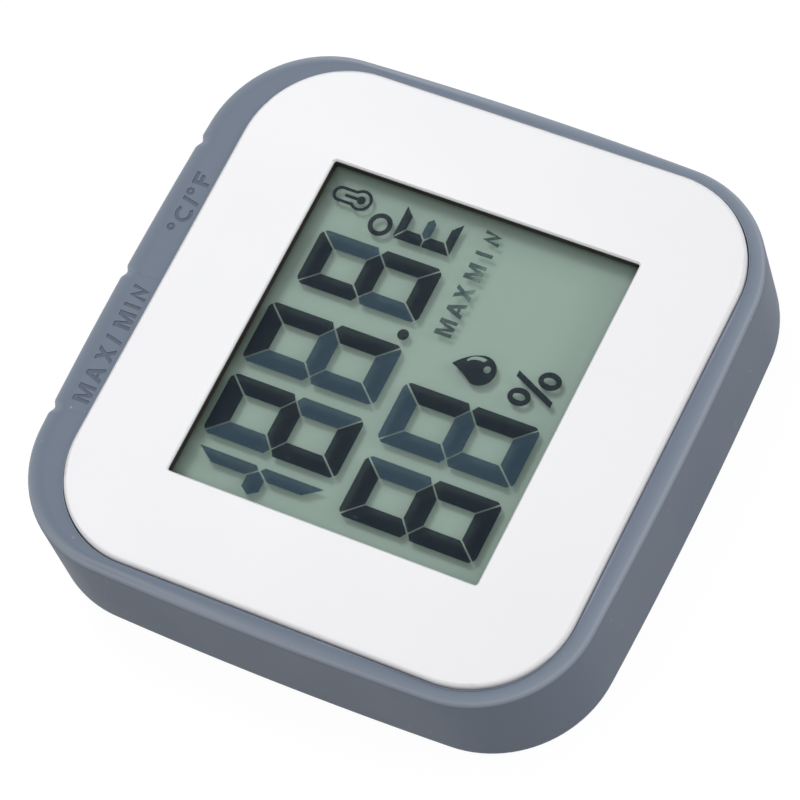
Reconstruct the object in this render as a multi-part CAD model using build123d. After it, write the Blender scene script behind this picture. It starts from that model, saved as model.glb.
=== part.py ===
from build123d import *
import math
import os

# Table-top temperature and humidity sensor, lying on its back as it was photographed.
# +X is the reader's right, +Y the top edge with the two keys, +Z the way the display faces.
# The origin is the centre of the rear face. Lengths are millimetres and angles degrees.

# Soft outer sleeve: its sides bow out a little between the corners
body_width = 60.4
body_height = 60.7
corner_radius = 12.1
side_crown = 0.9
front_edge_radius = 1.1
rear_edge_radius = 1.5
side_border = 1.90
bottom_border = 2.13
top_border = 4.63
sleeve_step = 0.45
sleeve_gap = 0.12
rear_lip_thickness = 1.2
rear_lip_overlap = 1.9

# White front panel with its skirt
panel_corner_radius = 10.26
panel_thickness = 1.3
panel_edge_radius = 0.35
case_wall = 1.4
window_side_border = 10.22
window_end_border = 10.255
window_corner_radius = 0.3
window_rim = 0.35
window_edge_chamfer = 0.15
gasket_overlap = 1.2

# Liquid crystal display, from its front film to its reflector
gasket_thickness = 0.85
polariser_thickness = 0.15
polariser_inset = 0.5
glass_thickness = 0.5
glass_overlap = 1.3
crystal_layer = 0.05
reflector_thickness = 0.2
contact_ledge = 1.5
frame_space = 2.2
frame_wall = 1.0
frame_shelf = 1.9
frame_corner_radius = 2.0
frame_gap = 0.1
zebra_thickness = 1.1
zebra_end_inset = 2.3

# Characters that the display can show, as shares of half the window's width and height.
# Across the window, lefts and widths count from its centre; up it, bottoms and heights do.
digit_width_share = 0.3844
digit_height_share = 0.8854
digit_bar_share = 0.1376
digit_stroke_share = 0.1106
digit_pitch_share = 0.4607
digit_waist_share = 0.0304
temperature_left_share = -0.7024
temperature_bottom_share = 0.0867
humidity_left_share = -0.8767
humidity_bottom_share = -0.8974
tenths_width_share = 0.3540
tenths_height_share = 0.8136
tenths_bar_share = 0.1286
tenths_stroke_share = 0.0996
tenths_left_share = 0.2821
hundred_left_share = -0.8462
hundred_width_share = 0.0691
hundred_slope_share = 0.1197
minus_left_share = -0.9430
minus_width_share = 0.1383
minus_height_share = 0.1137
point_left_share = 0.2046
point_rise_share = 0.0479
degree_left_share = 0.7622
degree_bottom_share = 0.5881
unit_left_share = 0.7118
unit_width_share = 0.2174
unit_bottom_share = 0.1077
unit_height_share = 0.3811
unit_stroke_share = 0.0758
unit_bar_share = 0.0658
digit_corner_radius = 0.4
segment_gap = 0.18
point_radius = 0.58
degree_radius = 1.25
degree_hole_radius = 0.75

# Circuit board and the pieces soldered to it
board_thickness = 1.0
board_edge_gap = 0.5
board_top_gap = 1.4
board_boss_gap = 0.8
board_screw_spread = 24.0
board_screw_shank_radius = 0.6
board_screw_head_radius = 1.3
board_screw_head_height = 0.7
board_screw_length = 3.0
board_boss_wall = 0.8
screw_clearance = 0.05
chip_radius = 3.6
chip_height = 1.1
chip_slope = 0.7
chip_drop = 4.75
watch_crystal_radius = 1.0
watch_crystal_length = 6.0
watch_crystal_chamfer = 0.3
watch_crystal_margin = 10.4
watch_crystal_drop = 7.35
capacitor_length = 1.6
capacitor_width = 0.8
capacitor_height = 0.9
capacitor_count = 4
capacitor_pitch = 2.2
resistor_height = 0.5
resistor_count = 5
small_part_gap = 4.5
small_part_drop = 8.35
small_part_row = 3.0
sensor_length = 8.0
sensor_width = 5.0
sensor_height = 0.9
sensor_lead_radius = 0.2
sensor_lead_length = 0.6
sensor_margin = 8.4
bead_radius = 1.0
bead_chamfer = 0.5
bead_lead_length = 3.5
bead_lead_radius = 0.2
bead_lead_spread = 1.2

# Side-acting switches and the key pads that press them
switch_width = 4.6
switch_depth = 3.4
switch_height = 1.7
switch_setback = 0.4
plunger_width = 1.8
plunger_height = 0.8
plunger_reach = 1.5
plunger_depth = 1.0
plunger_clearance = 0.06
plunger_travel = 0.34
key_corner_margin = 2.24
key_gap = 0.1
key_wall = 1.6
key_lip = 1.3
key_foot_gap = 0.3
key_shelf = 2.4
nib_radius = 1.1
nib_tip_chamfer = 0.4
nib_gap = 0.05
nib_passage_gap = 0.6
groove_radius = 0.83
groove_depth = 0.38

# Rear case
rear_recess = 0.3
floor_thickness = 1.5
rear_wall_height = 3.7
tongue_height = 0.9
tongue_thickness = 0.65
tongue_gap = 0.05
field_gap = 0.15
vent_width = 1.0
vent_length = 7.0
vent_pitch = 2.0
vent_door_web = 2.85
vent_wall_web = 2.5
case_boss_radius = 1.8
case_boss_inset = 2.46
case_screw_shank_radius = 0.8
case_screw_head_radius = 1.45
case_screw_head_height = 0.9
case_screw_sink = 0.3
case_screw_length = 8.0
screw_slot_width = 0.35
screw_slot_depth = 0.3
magnet_radius = 4.0
magnet_thickness = 1.6
magnet_skin = 0.8
magnet_gap = 0.1
magnet_side_margin = 9.3
magnet_end_margin = 15.22

# Coin cell with its contacts and its twist-lock door
cell_radius = 10.0
cell_height = 3.2
cell_gap = 0.1
cell_cap_radius = 8.6
cell_step = 0.4
cell_edge_chamfer = 0.3
cell_end_margin = 18.22
well_gap = 0.2
well_wall = 1.2
well_headroom = 1.9
contact_space = 2.6
contact_thickness = 0.2
contact_width = 4.0
contact_gap = 0.05
contact_foot = 3.0
contact_slot_gap = 0.3
door_radius = 11.4
door_thickness = 1.4
door_recess = 0.1
door_gap = 0.15
door_edge_chamfer = 0.25
door_ledge = 0.8
door_channel = 0.8
lug_reach = 1.2
lug_angle = 32.0
lug_count = 3
lug_clearance = 0.1
lug_turn = 38.0
coin_slot_length = 14.0
coin_slot_width = 1.8
coin_slot_depth = 0.7
door_mark_radius = 0.6
door_mark_depth = 0.2

# Fold-out stand
stand_magnet_web = 3.0
stand_thickness = 1.8
stand_door_web = 1.45
stand_recess = 0.1
stand_side_gap = 0.25
stand_end_gap = 0.3
stand_roof_gap = 0.15
stand_heel_gap = 0.55
stand_roof = 0.8
stand_end_margin = 5.82
stand_corner_radius = 3.0
pivot_radius = 0.6
pivot_length = 1.0
pivot_clearance = 0.05
pivot_end_gap = 0.2
nail_groove_length = 9.0
nail_groove_width = 1.2
nail_groove_depth = 0.6
nail_groove_inset = 1.6

# How far a cut runs past the face that it opens
overrun = 0.5

# Places across the body, worked out from the sizes above
panel_width = body_width - 2 * side_border
panel_height = body_height - bottom_border - top_border
panel_y = (bottom_border - top_border) / 2
panel_top = panel_y + panel_height / 2
panel_bottom = panel_y - panel_height / 2
window_width = panel_width - 2 * window_side_border
window_height = panel_height - 2 * window_end_border
wall_side = panel_width / 2 - case_wall
wall_top = panel_top - case_wall
glass_width = window_width + 2 * glass_overlap
glass_height = window_height + 2 * glass_overlap
glass_top = panel_y + glass_height / 2
glass_bottom = panel_y - glass_height / 2
frame_side = glass_width / 2 + frame_gap + frame_wall
frame_top = glass_top + contact_ledge + frame_gap + frame_wall
frame_bottom = glass_bottom - frame_gap - frame_wall
board_top = wall_top - board_top_gap
switch_front = board_top - switch_setback
plunger_tip = switch_front + plunger_reach
key_width = panel_width / 2 - panel_corner_radius - key_corner_margin
key_back = body_height / 2 - key_wall
hinge_y = panel_top + sleeve_gap
cell_rise = panel_top - cell_end_margin
magnet_side = panel_width / 2 - magnet_side_margin
magnet_rise = panel_bottom + magnet_end_margin
lug_radius = door_radius + lug_reach
vent_start = lug_radius + door_gap + vent_door_web
vent_count = 1 + int((wall_side - vent_wall_web - vent_start) / vent_pitch)
contact_end = cell_rise - cell_radius - contact_gap - contact_thickness / 2 - contact_foot
chip_rise = panel_y - chip_drop
sensor_distance = wall_side - sensor_margin
watch_crystal_x = watch_crystal_margin - wall_side
watch_crystal_rise = contact_end - watch_crystal_drop
small_part_left = watch_crystal_x + watch_crystal_length / 2 + small_part_gap
small_part_rise = contact_end - small_part_drop
stand_width = 2 * (magnet_side - magnet_radius - stand_magnet_web)
stand_rise = panel_bottom + stand_end_margin
stand_heel = stand_rise - stand_thickness / 2
stand_toe = cell_rise - lug_radius - door_gap - stand_door_web - stand_end_gap

# Levels, from the rear face up through the coin cell, board and display to the panel
field_z = rear_recess
door_z = field_z + door_recess
ledge_top = field_z + door_ledge
channel_top = ledge_top + door_channel
door_top = door_z + door_thickness
cell_z = door_top + cell_gap
cell_top = cell_z + cell_height
board_z = cell_top + contact_space
board_front = board_z + board_thickness
reflector_z = board_front + frame_space
rear_glass_z = reflector_z + reflector_thickness
crystal_z = rear_glass_z + glass_thickness
front_glass_z = crystal_z + crystal_layer
polariser_z = front_glass_z + glass_thickness
gasket_z = polariser_z + polariser_thickness
rim_z = gasket_z + gasket_thickness
panel_z = rim_z + window_rim
sleeve_front = panel_z - sleeve_step
panel_back = panel_z - panel_thickness
case_z = rear_lip_thickness + sleeve_gap
floor_top = case_z + floor_thickness
split_z = case_z + rear_wall_height
tongue_top = split_z + tongue_height
switch_z = board_z - switch_height / 2
stand_z = field_z + stand_recess
pivot_z = stand_z + stand_thickness / 2
stand_roof_z = stand_z + stand_thickness + stand_roof_gap


def crowned_outline(width, height, radius, crown):
    """Rounded square whose four sides bow out by crown between their corners."""
    x = width / 2 - crown
    y = height / 2 - crown
    corners = [(-x, -y), (x, -y), (x, y), (-x, y)]
    middles = [(0, -height / 2), (width / 2, 0), (0, height / 2), (-width / 2, 0)]
    sides = [ThreePointArc(corners[i], middles[i], corners[(i + 1) % 4]) for i in range(4)]
    face = Face(Wire(sides))
    return fillet(face.vertices(), radius)


def slab(face, low, high):
    """Upright block with the plan of a face, between two levels."""
    return extrude(Pos(0, 0, low) * face, high - low)


def block(x0, x1, y0, y1, z0, z1):
    """Block between two corners."""
    centre = ((x0 + x1) / 2, (y0 + y1) / 2, (z0 + z1) / 2)
    return Pos(*centre) * Box(x1 - x0, y1 - y0, z1 - z0)


def post(x, y, radius, low, high):
    """Round post or bore along Z."""
    return Pos(x, y, (low + high) / 2) * Cylinder(radius, high - low)


def case_slab(inset, low, high):
    """Block with the plan of the white case, drawn in by inset."""
    plan = RectangleRounded(panel_width - 2 * inset, panel_height - 2 * inset, panel_corner_radius - inset)
    return Pos(0, panel_y, 0) * slab(plan, low, high)


def glass_slab(inset, ledge, low, high):
    """Display layer: the glass's plan drawn in by inset and longer by ledge at the top."""
    return block(-glass_width / 2 + inset, glass_width / 2 - inset,
                 glass_bottom + inset, glass_top - inset + ledge, low, high)


def corner_places():
    """Centres of the four case screws, set on the diagonals of the case's corners."""
    reach = (panel_corner_radius - case_wall - case_boss_inset) / math.sqrt(2)
    x = panel_width / 2 - panel_corner_radius + reach
    y = panel_height / 2 - panel_corner_radius + reach
    return [(sx * x, panel_y + sy * y) for sx in (-1, 1) for sy in (-1, 1)]


def board_screw_places():
    """Centres of the four board screws, midway between the display frame and the case wall."""
    x = (frame_side + wall_side) / 2
    return [(sx * x, panel_y + sy * board_screw_spread / 2) for sx in (-1, 1) for sy in (-1, 1)]


def body_top(x):
    """Height in Y of the bowed top side at x."""
    half = body_width / 2 - side_crown
    return body_height / 2 - side_crown * (x / half) ** 2


def make_outer_form():
    """Outside of the sleeve and its key pads in one, with the finger grooves between the pads."""
    form = slab(crowned_outline(body_width, body_height, corner_radius, side_crown), 0, sleeve_front)
    form = fillet(form.edges().group_by(Axis.Z)[-1], front_edge_radius)
    form = fillet(form.edges().group_by(Axis.Z)[0], rear_edge_radius)
    for x in (-key_width, 0, key_width):
        y = body_top(x) + groove_radius - groove_depth
        form -= post(x, y, groove_radius, key_shelf, sleeve_front + overrun)
    return form


def make_sleeve(outer):
    """Silicone sleeve: a ring round the case, with a lip behind it and a bay for the key pads."""
    sleeve = outer - case_slab(-sleeve_gap, rear_lip_thickness, sleeve_front + overrun)
    sleeve -= case_slab(rear_lip_overlap, -overrun, rear_lip_thickness + overrun)
    bay = key_width + key_gap / 2
    sleeve -= block(-bay, bay, panel_y, body_height, key_shelf, sleeve_front + overrun)
    return sleeve


def make_key(outer, side):
    """Key pad: a lip under the legend, the wall that the finger presses and the nib behind it."""
    centre = side * key_width / 2
    half = (key_width - key_gap) / 2
    low = key_shelf + key_foot_gap
    pad = outer & block(centre - half, centre + half, hinge_y, body_height, low, sleeve_front + overrun)
    pad -= block(centre - key_width, centre + key_width, panel_y, key_back, 0, sleeve_front - key_lip)
    length = key_back - plunger_tip - nib_gap
    base = (Align.CENTER, Align.CENTER, Align.MIN)
    nib = Rot(90, 0, 0) * Cylinder(nib_radius, length + key_wall / 2, align=base)
    nib = chamfer(nib.edges().group_by(Axis.Y)[0], nib_tip_chamfer)
    return pad + Pos(centre, key_back + key_wall / 2, switch_z) * nib


def nib_passages(low, high):
    """Passages for the two nibs through the top wall of the case."""
    half = nib_radius + nib_passage_gap
    return [block(side * key_width / 2 - half, side * key_width / 2 + half,
                  wall_top - overrun, panel_top + overrun, low, high) for side in (-1, 1)]


def make_front_panel():
    """White panel: face with the window, skirt, and bosses for the board and the rear case."""
    panel = case_slab(0, split_z, panel_z)
    panel = fillet(panel.edges().group_by(Axis.Z)[-1], panel_edge_radius)
    panel -= case_slab(case_wall, split_z - overrun, panel_back)
    rebate = case_wall - tongue_thickness - tongue_gap
    panel -= case_slab(rebate, split_z - overrun, tongue_top + tongue_gap)
    window = RectangleRounded(window_width, window_height, window_corner_radius)
    panel -= Pos(0, panel_y, 0) * slab(window, panel_back - overrun, panel_z + overrun)
    inner = [edge for edge in panel.edges().group_by(Axis.Z)[-1]
             if abs(edge.center().X) <= window_width / 2 + overrun
             and abs(edge.center().Y - panel_y) <= window_height / 2 + overrun]
    panel = chamfer(inner, window_edge_chamfer)
    seat = gasket_overlap + frame_gap
    panel -= block(-window_width / 2 - seat, window_width / 2 + seat, panel_y - window_height / 2 - seat,
                   panel_y + window_height / 2 + seat, panel_back - overrun, rim_z)
    for x, y in corner_places():
        panel += post(x, y, case_boss_radius, split_z, panel_back + overrun)
        panel -= post(x, y, case_screw_shank_radius + screw_clearance, split_z - overrun,
                      field_z + case_screw_sink + case_screw_head_height + case_screw_length + overrun)
    boss_radius = board_screw_shank_radius + board_boss_wall
    for x, y in board_screw_places():
        panel += post(x, y, boss_radius, board_front, panel_back + overrun)
        panel -= post(x, y, board_screw_shank_radius + screw_clearance, board_front - overrun,
                      board_z + board_screw_length + overrun)
    for passage in nib_passages(split_z - overrun, switch_z + nib_radius + nib_passage_gap):
        panel -= passage
    return panel


def make_gasket():
    """Black foam frame that blocks light round the window and presses on the display."""
    outer_w = window_width + 2 * gasket_overlap
    outer_h = window_height + 2 * gasket_overlap
    ring = Rectangle(outer_w, outer_h) - RectangleRounded(window_width, window_height, window_corner_radius)
    return Pos(0, panel_y, 0) * slab(ring, gasket_z, rim_z)


def make_lcd_frame():
    """Frame that holds the glass and the zebra strip square on the board."""
    plan = RectangleRounded(2 * frame_side, frame_top - frame_bottom, frame_corner_radius)
    frame = Pos(0, (frame_top + frame_bottom) / 2, 0) * slab(plan, board_front, polariser_z - frame_gap)
    frame -= glass_slab(frame_shelf, 0, board_front - overrun, polariser_z + overrun)
    frame -= glass_slab(-frame_gap, 0, reflector_z, polariser_z + overrun)
    frame -= glass_slab(-frame_gap, contact_ledge, front_glass_z - frame_gap, polariser_z + overrun)
    zebra_low = glass_top + (contact_ledge - zebra_thickness) / 2
    half = glass_width / 2 - zebra_end_inset + frame_gap
    frame -= block(-half, half, zebra_low - frame_gap, zebra_low + zebra_thickness + frame_gap,
                   board_front - overrun, polariser_z + overrun)
    for x, y in corner_places():
        frame -= post(x, y, case_boss_radius + frame_gap, board_front - overrun, polariser_z + overrun)
    return frame


def make_zebra_strip():
    """Elastomer strip that joins the board's pads to the ledge of the front glass."""
    low = glass_top + (contact_ledge - zebra_thickness) / 2
    half = glass_width / 2 - zebra_end_inset
    return block(-half, half, low, low + zebra_thickness, board_front, front_glass_z)


def across(share):
    """Length across the window for a share of half its width."""
    return share * window_width / 2


def upward(share):
    """Length up the window for a share of half its height."""
    return share * window_height / 2


def digit_faces(left, bottom, width, height, bar, stroke):
    """Seven segments of one digit, mitred at the corners and pointed at the waist."""
    right, top, middle = left + width, bottom + height, bottom + height / 2
    inner_l, inner_r = left + stroke, right - stroke
    waist = across(digit_waist_share)
    waist_l, waist_r = left + waist, right - waist
    half = bar / 2
    high, low = top - bar, bottom + bar
    above, below = middle + half, middle - half
    outlines = [
        [(left, top), (right, top), (inner_r, high), (inner_l, high)],
        [(right, top), (right, middle), (waist_r, middle), (inner_r, above), (inner_r, high)],
        [(right, middle), (right, bottom), (inner_r, low), (inner_r, below), (waist_r, middle)],
        [(left, bottom), (right, bottom), (inner_r, low), (inner_l, low)],
        [(left, middle), (waist_l, middle), (inner_l, below), (inner_l, low), (left, bottom)],
        [(left, top), (left, middle), (waist_l, middle), (inner_l, above), (inner_l, high)],
        [(waist_l, middle), (inner_l, above), (inner_r, above), (waist_r, middle), (inner_r, below),
         (inner_l, below)],
    ]
    bounds = Pos(left + width / 2, middle) * RectangleRounded(width, height, digit_corner_radius)
    faces = [make_face(Polyline(*points, close=True)) for points in outlines]
    return [offset(face, -segment_gap / 2, kind=Kind.INTERSECTION) & bounds for face in faces]


def hundred_faces():
    """Leading one of three pieces: two strokes cut to a slope, and the minus sign's lozenge."""
    left, right = across(hundred_left_share), across(hundred_left_share + hundred_width_share)
    bottom, top = upward(temperature_bottom_share), upward(temperature_bottom_share + digit_height_share)
    middle = (bottom + top) / 2
    slope, tip = upward(hundred_slope_share), upward(minus_height_share) / 2
    upper = [(left, middle + tip), (left, top - slope), (right, top), (right, middle)]
    lower = [(left, middle - tip), (left, bottom + slope), (right, bottom), (right, middle)]
    start, end = across(minus_left_share), across(minus_left_share + minus_width_share)
    lozenge = [(start, middle), (start + tip, middle + tip), (end - tip, middle + tip),
               (end, middle), (end - tip, middle - tip), (start + tip, middle - tip)]
    faces = [make_face(Polyline(*points, close=True)) for points in (upper, lower, lozenge)]
    return [offset(face, -segment_gap / 2, kind=Kind.INTERSECTION) for face in faces]


def unit_faces():
    """Segments that show either temperature unit: two strokes at the left and three pointed bars."""
    left, right = across(unit_left_share), across(unit_left_share + unit_width_share)
    bottom, top = upward(unit_bottom_share), upward(unit_bottom_share + unit_height_share)
    bar, middle = upward(unit_bar_share), (bottom + top) / 2
    inner, half = left + across(unit_stroke_share), bar / 2
    fork, tip, high, low = inner - half, right - bar, top - bar, bottom + bar
    outlines = [
        [(left, middle), (left, top), (inner, high), (inner, middle + half), (fork, middle)],
        [(left, middle), (left, bottom), (inner, low), (inner, middle - half), (fork, middle)],
        [(left, top), (right, top), (tip, high), (inner, high)],
        [(left, bottom), (right, bottom), (tip, low), (inner, low)],
        [(fork, middle), (inner, middle + half), (tip, middle + half), (tip + half, middle),
         (tip, middle - half), (inner, middle - half)],
    ]
    faces = [make_face(Polyline(*points, close=True)) for points in outlines]
    return [offset(face, -segment_gap / 2, kind=Kind.INTERSECTION) for face in faces]


def make_segments():
    """Every driven shape of the display, as thin separate solids between the two glasses."""
    digit = (across(digit_width_share), upward(digit_height_share),
             upward(digit_bar_share), across(digit_stroke_share))
    tenths = (across(tenths_width_share), upward(tenths_height_share),
              upward(tenths_bar_share), across(tenths_stroke_share))
    base = upward(temperature_bottom_share)
    faces = []
    for step in (0, 1):
        shift = step * digit_pitch_share
        faces += digit_faces(across(temperature_left_share + shift), base, *digit)
        faces += digit_faces(across(humidity_left_share + shift), upward(humidity_bottom_share), *digit)
    faces += digit_faces(across(tenths_left_share), base, *tenths)
    faces += hundred_faces() + unit_faces()
    faces.append(Pos(across(point_left_share), base + upward(point_rise_share)) * Circle(point_radius))
    ring = Circle(degree_radius) - Circle(degree_hole_radius)
    faces.append(Pos(across(degree_left_share), upward(degree_bottom_share)) * ring)
    return [Pos(0, panel_y, 0) * slab(face, crystal_z, front_glass_z) for face in faces]


def make_board():
    """Circuit board, notched round the case bosses and drilled for its own screws."""
    inset = case_wall + board_edge_gap
    board = case_slab(inset, board_z, board_front)
    low, high = board_z - overrun, board_front + overrun
    board -= block(-body_width, body_width, board_top, body_height, low, high)
    for x, y in corner_places():
        board -= post(x, y, case_boss_radius + board_boss_gap, low, high)
    for x, y in board_screw_places():
        board -= post(x, y, board_screw_shank_radius + screw_clearance, low, high)
    return board


def screw(x, y, head_z, shank_radius, length, head_radius, head_height):
    """Cross-slotted screw driven up along +Z, its head at the bottom."""
    body = post(x, y, head_radius, head_z, head_z + head_height)
    body += post(x, y, shank_radius, head_z + head_height, head_z + head_height + length)
    for long_x, long_y in ((head_radius, screw_slot_width), (screw_slot_width, head_radius)):
        body -= block(x - long_x / 2, x + long_x / 2, y - long_y / 2, y + long_y / 2,
                      head_z - screw_slot_depth, head_z + screw_slot_depth)
    return body


def make_board_screws():
    """Four screws that pull the board and the display up to the panel."""
    head_z = board_z - board_screw_head_height
    return [screw(x, y, head_z, board_screw_shank_radius, board_screw_length,
                  board_screw_head_radius, board_screw_head_height) for x, y in board_screw_places()]


def make_case_screws():
    """Four screws that hold the rear case to the front panel."""
    head_z = field_z + case_screw_sink
    return [screw(x, y, head_z, case_screw_shank_radius, case_screw_length,
                  case_screw_head_radius, case_screw_head_height) for x, y in corner_places()]


def make_chip():
    """Drop of epoxy over the chip, on the board's front side, with a sloping edge."""
    drop = post(0, chip_rise, chip_radius, board_front, board_front + chip_height)
    return chamfer(drop.edges().group_by(Axis.Z)[-1], chip_slope)


def make_watch_crystal():
    """Tuning-fork crystal in a small can, lying on the board's rear side."""
    can = Rot(0, 90, 0) * Cylinder(watch_crystal_radius, watch_crystal_length)
    can = chamfer(can.edges().group_by(Axis.X)[-1], watch_crystal_chamfer)
    return Pos(watch_crystal_x, watch_crystal_rise, board_z - watch_crystal_radius) * can


def make_small_parts(count, row, height):
    """Row of small square-ended parts on the board's rear side."""
    y = small_part_rise + row * small_part_row
    lefts = [small_part_left + i * capacitor_pitch for i in range(count)]
    return [block(left, left + capacitor_width, y, y + capacitor_length, board_z - height, board_z)
            for left in lefts]


def make_humidity_sensor():
    """Moisture-sensing plate behind the vents, held off the board by its two leads."""
    low = board_z - sensor_lead_length - sensor_height
    x0 = sensor_distance - sensor_width / 2
    y0 = cell_rise - sensor_length / 2
    plate = block(x0, x0 + sensor_width, y0, y0 + sensor_length, low, low + sensor_height)
    for side in (-1, 1):
        plate += post(sensor_distance + side * sensor_width / 4, y0 + sensor_width / 4, sensor_lead_radius,
                      low + sensor_height / 2, board_z)
    return plate


def make_thermistor():
    """Temperature-sensing bead on two leads, behind the other group of vents."""
    z = board_z - bead_lead_length
    bead = post(-sensor_distance, cell_rise, bead_radius, z - bead_radius, z + bead_radius)
    bead = chamfer(bead.edges().filter_by(GeomType.CIRCLE), bead_chamfer)
    for side in (-1, 1):
        x = -sensor_distance + side * bead_lead_spread / 2
        bead += post(x, cell_rise, bead_lead_radius, z, board_z)
    return bead


def make_switch(side):
    """Body of a side-acting switch on the board's rear side, bored for its plunger."""
    x = side * key_width / 2
    body = block(x - switch_width / 2, x + switch_width / 2, switch_front - switch_depth, switch_front,
                 board_z - switch_height, board_z)
    half_w = plunger_width / 2 + plunger_clearance
    half_h = plunger_height / 2 + plunger_clearance
    deep = plunger_depth + plunger_travel + plunger_clearance
    return body - block(x - half_w, x + half_w, switch_front - deep, switch_front + overrun,
                        switch_z - half_h, switch_z + half_h)


def make_plunger(side):
    """Plunger of a switch, which the key's nib pushes in."""
    x = side * key_width / 2
    return block(x - plunger_width / 2, x + plunger_width / 2, switch_front - plunger_depth, plunger_tip,
                 switch_z - plunger_height / 2, switch_z + plunger_height / 2)


def ring_sector(inner, outer, centre_angle, sweep, low, high):
    """Sector of a ring about the coin cell's axis."""
    span = 2 * outer
    start, end = (math.radians(centre_angle + s * sweep / 2) for s in (-1, 1))
    wedge = make_face(Polyline((0, 0), (span * math.cos(start), span * math.sin(start)),
                               (span * math.cos(end), span * math.sin(end)), close=True))
    plan = (Circle(outer) - Circle(inner)) & wedge
    return Pos(0, cell_rise, 0) * slab(plan, low, high)


def lug_angles():
    """Directions of the door's lugs."""
    return [90 + i * 360 / lug_count for i in range(lug_count)]


def make_door():
    """Round battery door with bayonet lugs, a coin slot and a round index mark."""
    door = post(0, cell_rise, door_radius, door_z, door_top)
    door = chamfer(door.edges().group_by(Axis.Z)[0], door_edge_chamfer)
    for angle in lug_angles():
        door += ring_sector(door_radius - overrun, lug_radius, angle, lug_angle,
                            ledge_top + lug_clearance, door_top)
    slot = SlotOverall(coin_slot_length, coin_slot_width)
    door -= Pos(0, cell_rise, 0) * slab(slot, door_z - overrun, door_z + coin_slot_depth)
    mark_y = cell_rise + door_radius - 3 * door_mark_radius
    door -= post(0, mark_y, door_mark_radius, door_z - overrun, door_z + door_mark_depth)
    return door


def make_rear_case():
    """Rear case: floor, walls with a tongue, battery well, bosses, vents, stand bay and magnet seats."""
    case = case_slab(0, case_z, split_z) - case_slab(case_wall, floor_top, split_z + overrun)
    case += case_slab(rear_lip_overlap + field_gap, field_z, floor_top)
    case += case_slab(case_wall - tongue_thickness, split_z - overrun, tongue_top) \
        - case_slab(case_wall, split_z - 2 * overrun, tongue_top + overrun)
    for passage in nib_passages(split_z, tongue_top + overrun):
        case -= passage
    well_radius = cell_radius + well_gap
    case += post(0, cell_rise, well_radius + well_wall, floor_top - overrun, board_z - well_headroom)
    side = stand_width / 2 + stand_side_gap
    heel = stand_heel - stand_heel_gap
    toe = stand_toe + stand_end_gap
    case += block(-side - stand_roof, side + stand_roof, heel - stand_roof, toe + stand_roof,
                  floor_top - overrun, stand_roof_z + stand_roof)
    case -= block(-side, side, heel, toe, field_z - overrun, stand_roof_z)
    socket = side + pivot_length - stand_side_gap + pivot_end_gap
    pivot = Rot(0, 90, 0) * Cylinder(pivot_radius + pivot_clearance, 2 * socket)
    case -= Pos(0, stand_rise, pivot_z) * pivot
    case -= post(0, cell_rise, door_radius + door_gap, field_z - overrun, ledge_top + overrun)
    case -= post(0, cell_rise, lug_radius + door_gap, ledge_top, channel_top)
    case -= post(0, cell_rise, well_radius, channel_top - overrun, board_z)
    for angle in lug_angles():
        case -= ring_sector(door_radius - overrun, lug_radius + door_gap, angle - lug_turn,
                            lug_angle + 2 * door_gap, field_z - overrun, ledge_top + overrun)
    slot = contact_width / 2 + contact_slot_gap
    case -= block(-slot, slot, cell_rise - well_radius - well_wall - overrun, cell_rise - cell_radius,
                  floor_top + overrun, board_z)
    for x, y in corner_places():
        case += post(x, y, case_boss_radius, floor_top - overrun, split_z)
        case -= post(x, y, case_screw_shank_radius + screw_clearance, field_z - overrun, split_z + overrun)
        case -= post(x, y, case_screw_head_radius + screw_clearance, field_z - overrun,
                     field_z + case_screw_sink + case_screw_head_height)
    vent = Rectangle(vent_width, vent_length)
    for sx in (-1, 1):
        for i in range(vent_count):
            place = Pos(sx * (vent_start + i * vent_pitch), cell_rise, 0)
            case -= place * slab(vent, field_z - overrun, floor_top + overrun)
        case -= post(sx * magnet_side, magnet_rise, magnet_radius + magnet_gap,
                     field_z + magnet_skin, floor_top + overrun)
    return case


def make_magnets():
    """Two disc magnets in their seats behind the rear wall."""
    low = field_z + magnet_skin
    high = low + magnet_thickness
    return [post(side * magnet_side, magnet_rise, magnet_radius, low, high) for side in (-1, 1)]


def make_cell():
    """Coin cell, its wide can towards the door and its narrower cap towards the board."""
    can = post(0, cell_rise, cell_radius, cell_z, cell_top - cell_step)
    can = chamfer(can.edges().group_by(Axis.Z)[0], cell_edge_chamfer)
    return can + post(0, cell_rise, cell_cap_radius, cell_top - cell_step, cell_top)


def strip(points, thickness, width):
    """Bent metal strip: its side view in the YZ plane, centred on X."""
    side_view = trace(Polyline(*points), line_width=thickness)
    return extrude(Plane.YZ * side_view, width / 2, both=True)


def make_negative_contact():
    """Leaf spring from the board's rear side down to the middle of the cell's cap."""
    half = contact_thickness / 2
    high, low = board_z - half, cell_top + contact_gap + half
    reach = contact_foot + contact_space
    start = cell_rise + contact_foot
    points = [(start + contact_foot, high), (start, high), (cell_rise, low),
              (cell_rise - contact_foot / 2, low), (cell_rise - reach / 2, low + contact_space / 4)]
    return strip(points, contact_thickness, contact_width)


def make_positive_contact():
    """Tab that comes down from the board beside the cell and bears on the rim of its can."""
    half = contact_thickness / 2
    touch = cell_rise - cell_radius - contact_gap - half
    high, low = board_z - half, cell_z + cell_height / 2
    points = [(touch - contact_foot, high), (touch, high), (touch, low)]
    return strip(points, contact_thickness, contact_width)


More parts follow.
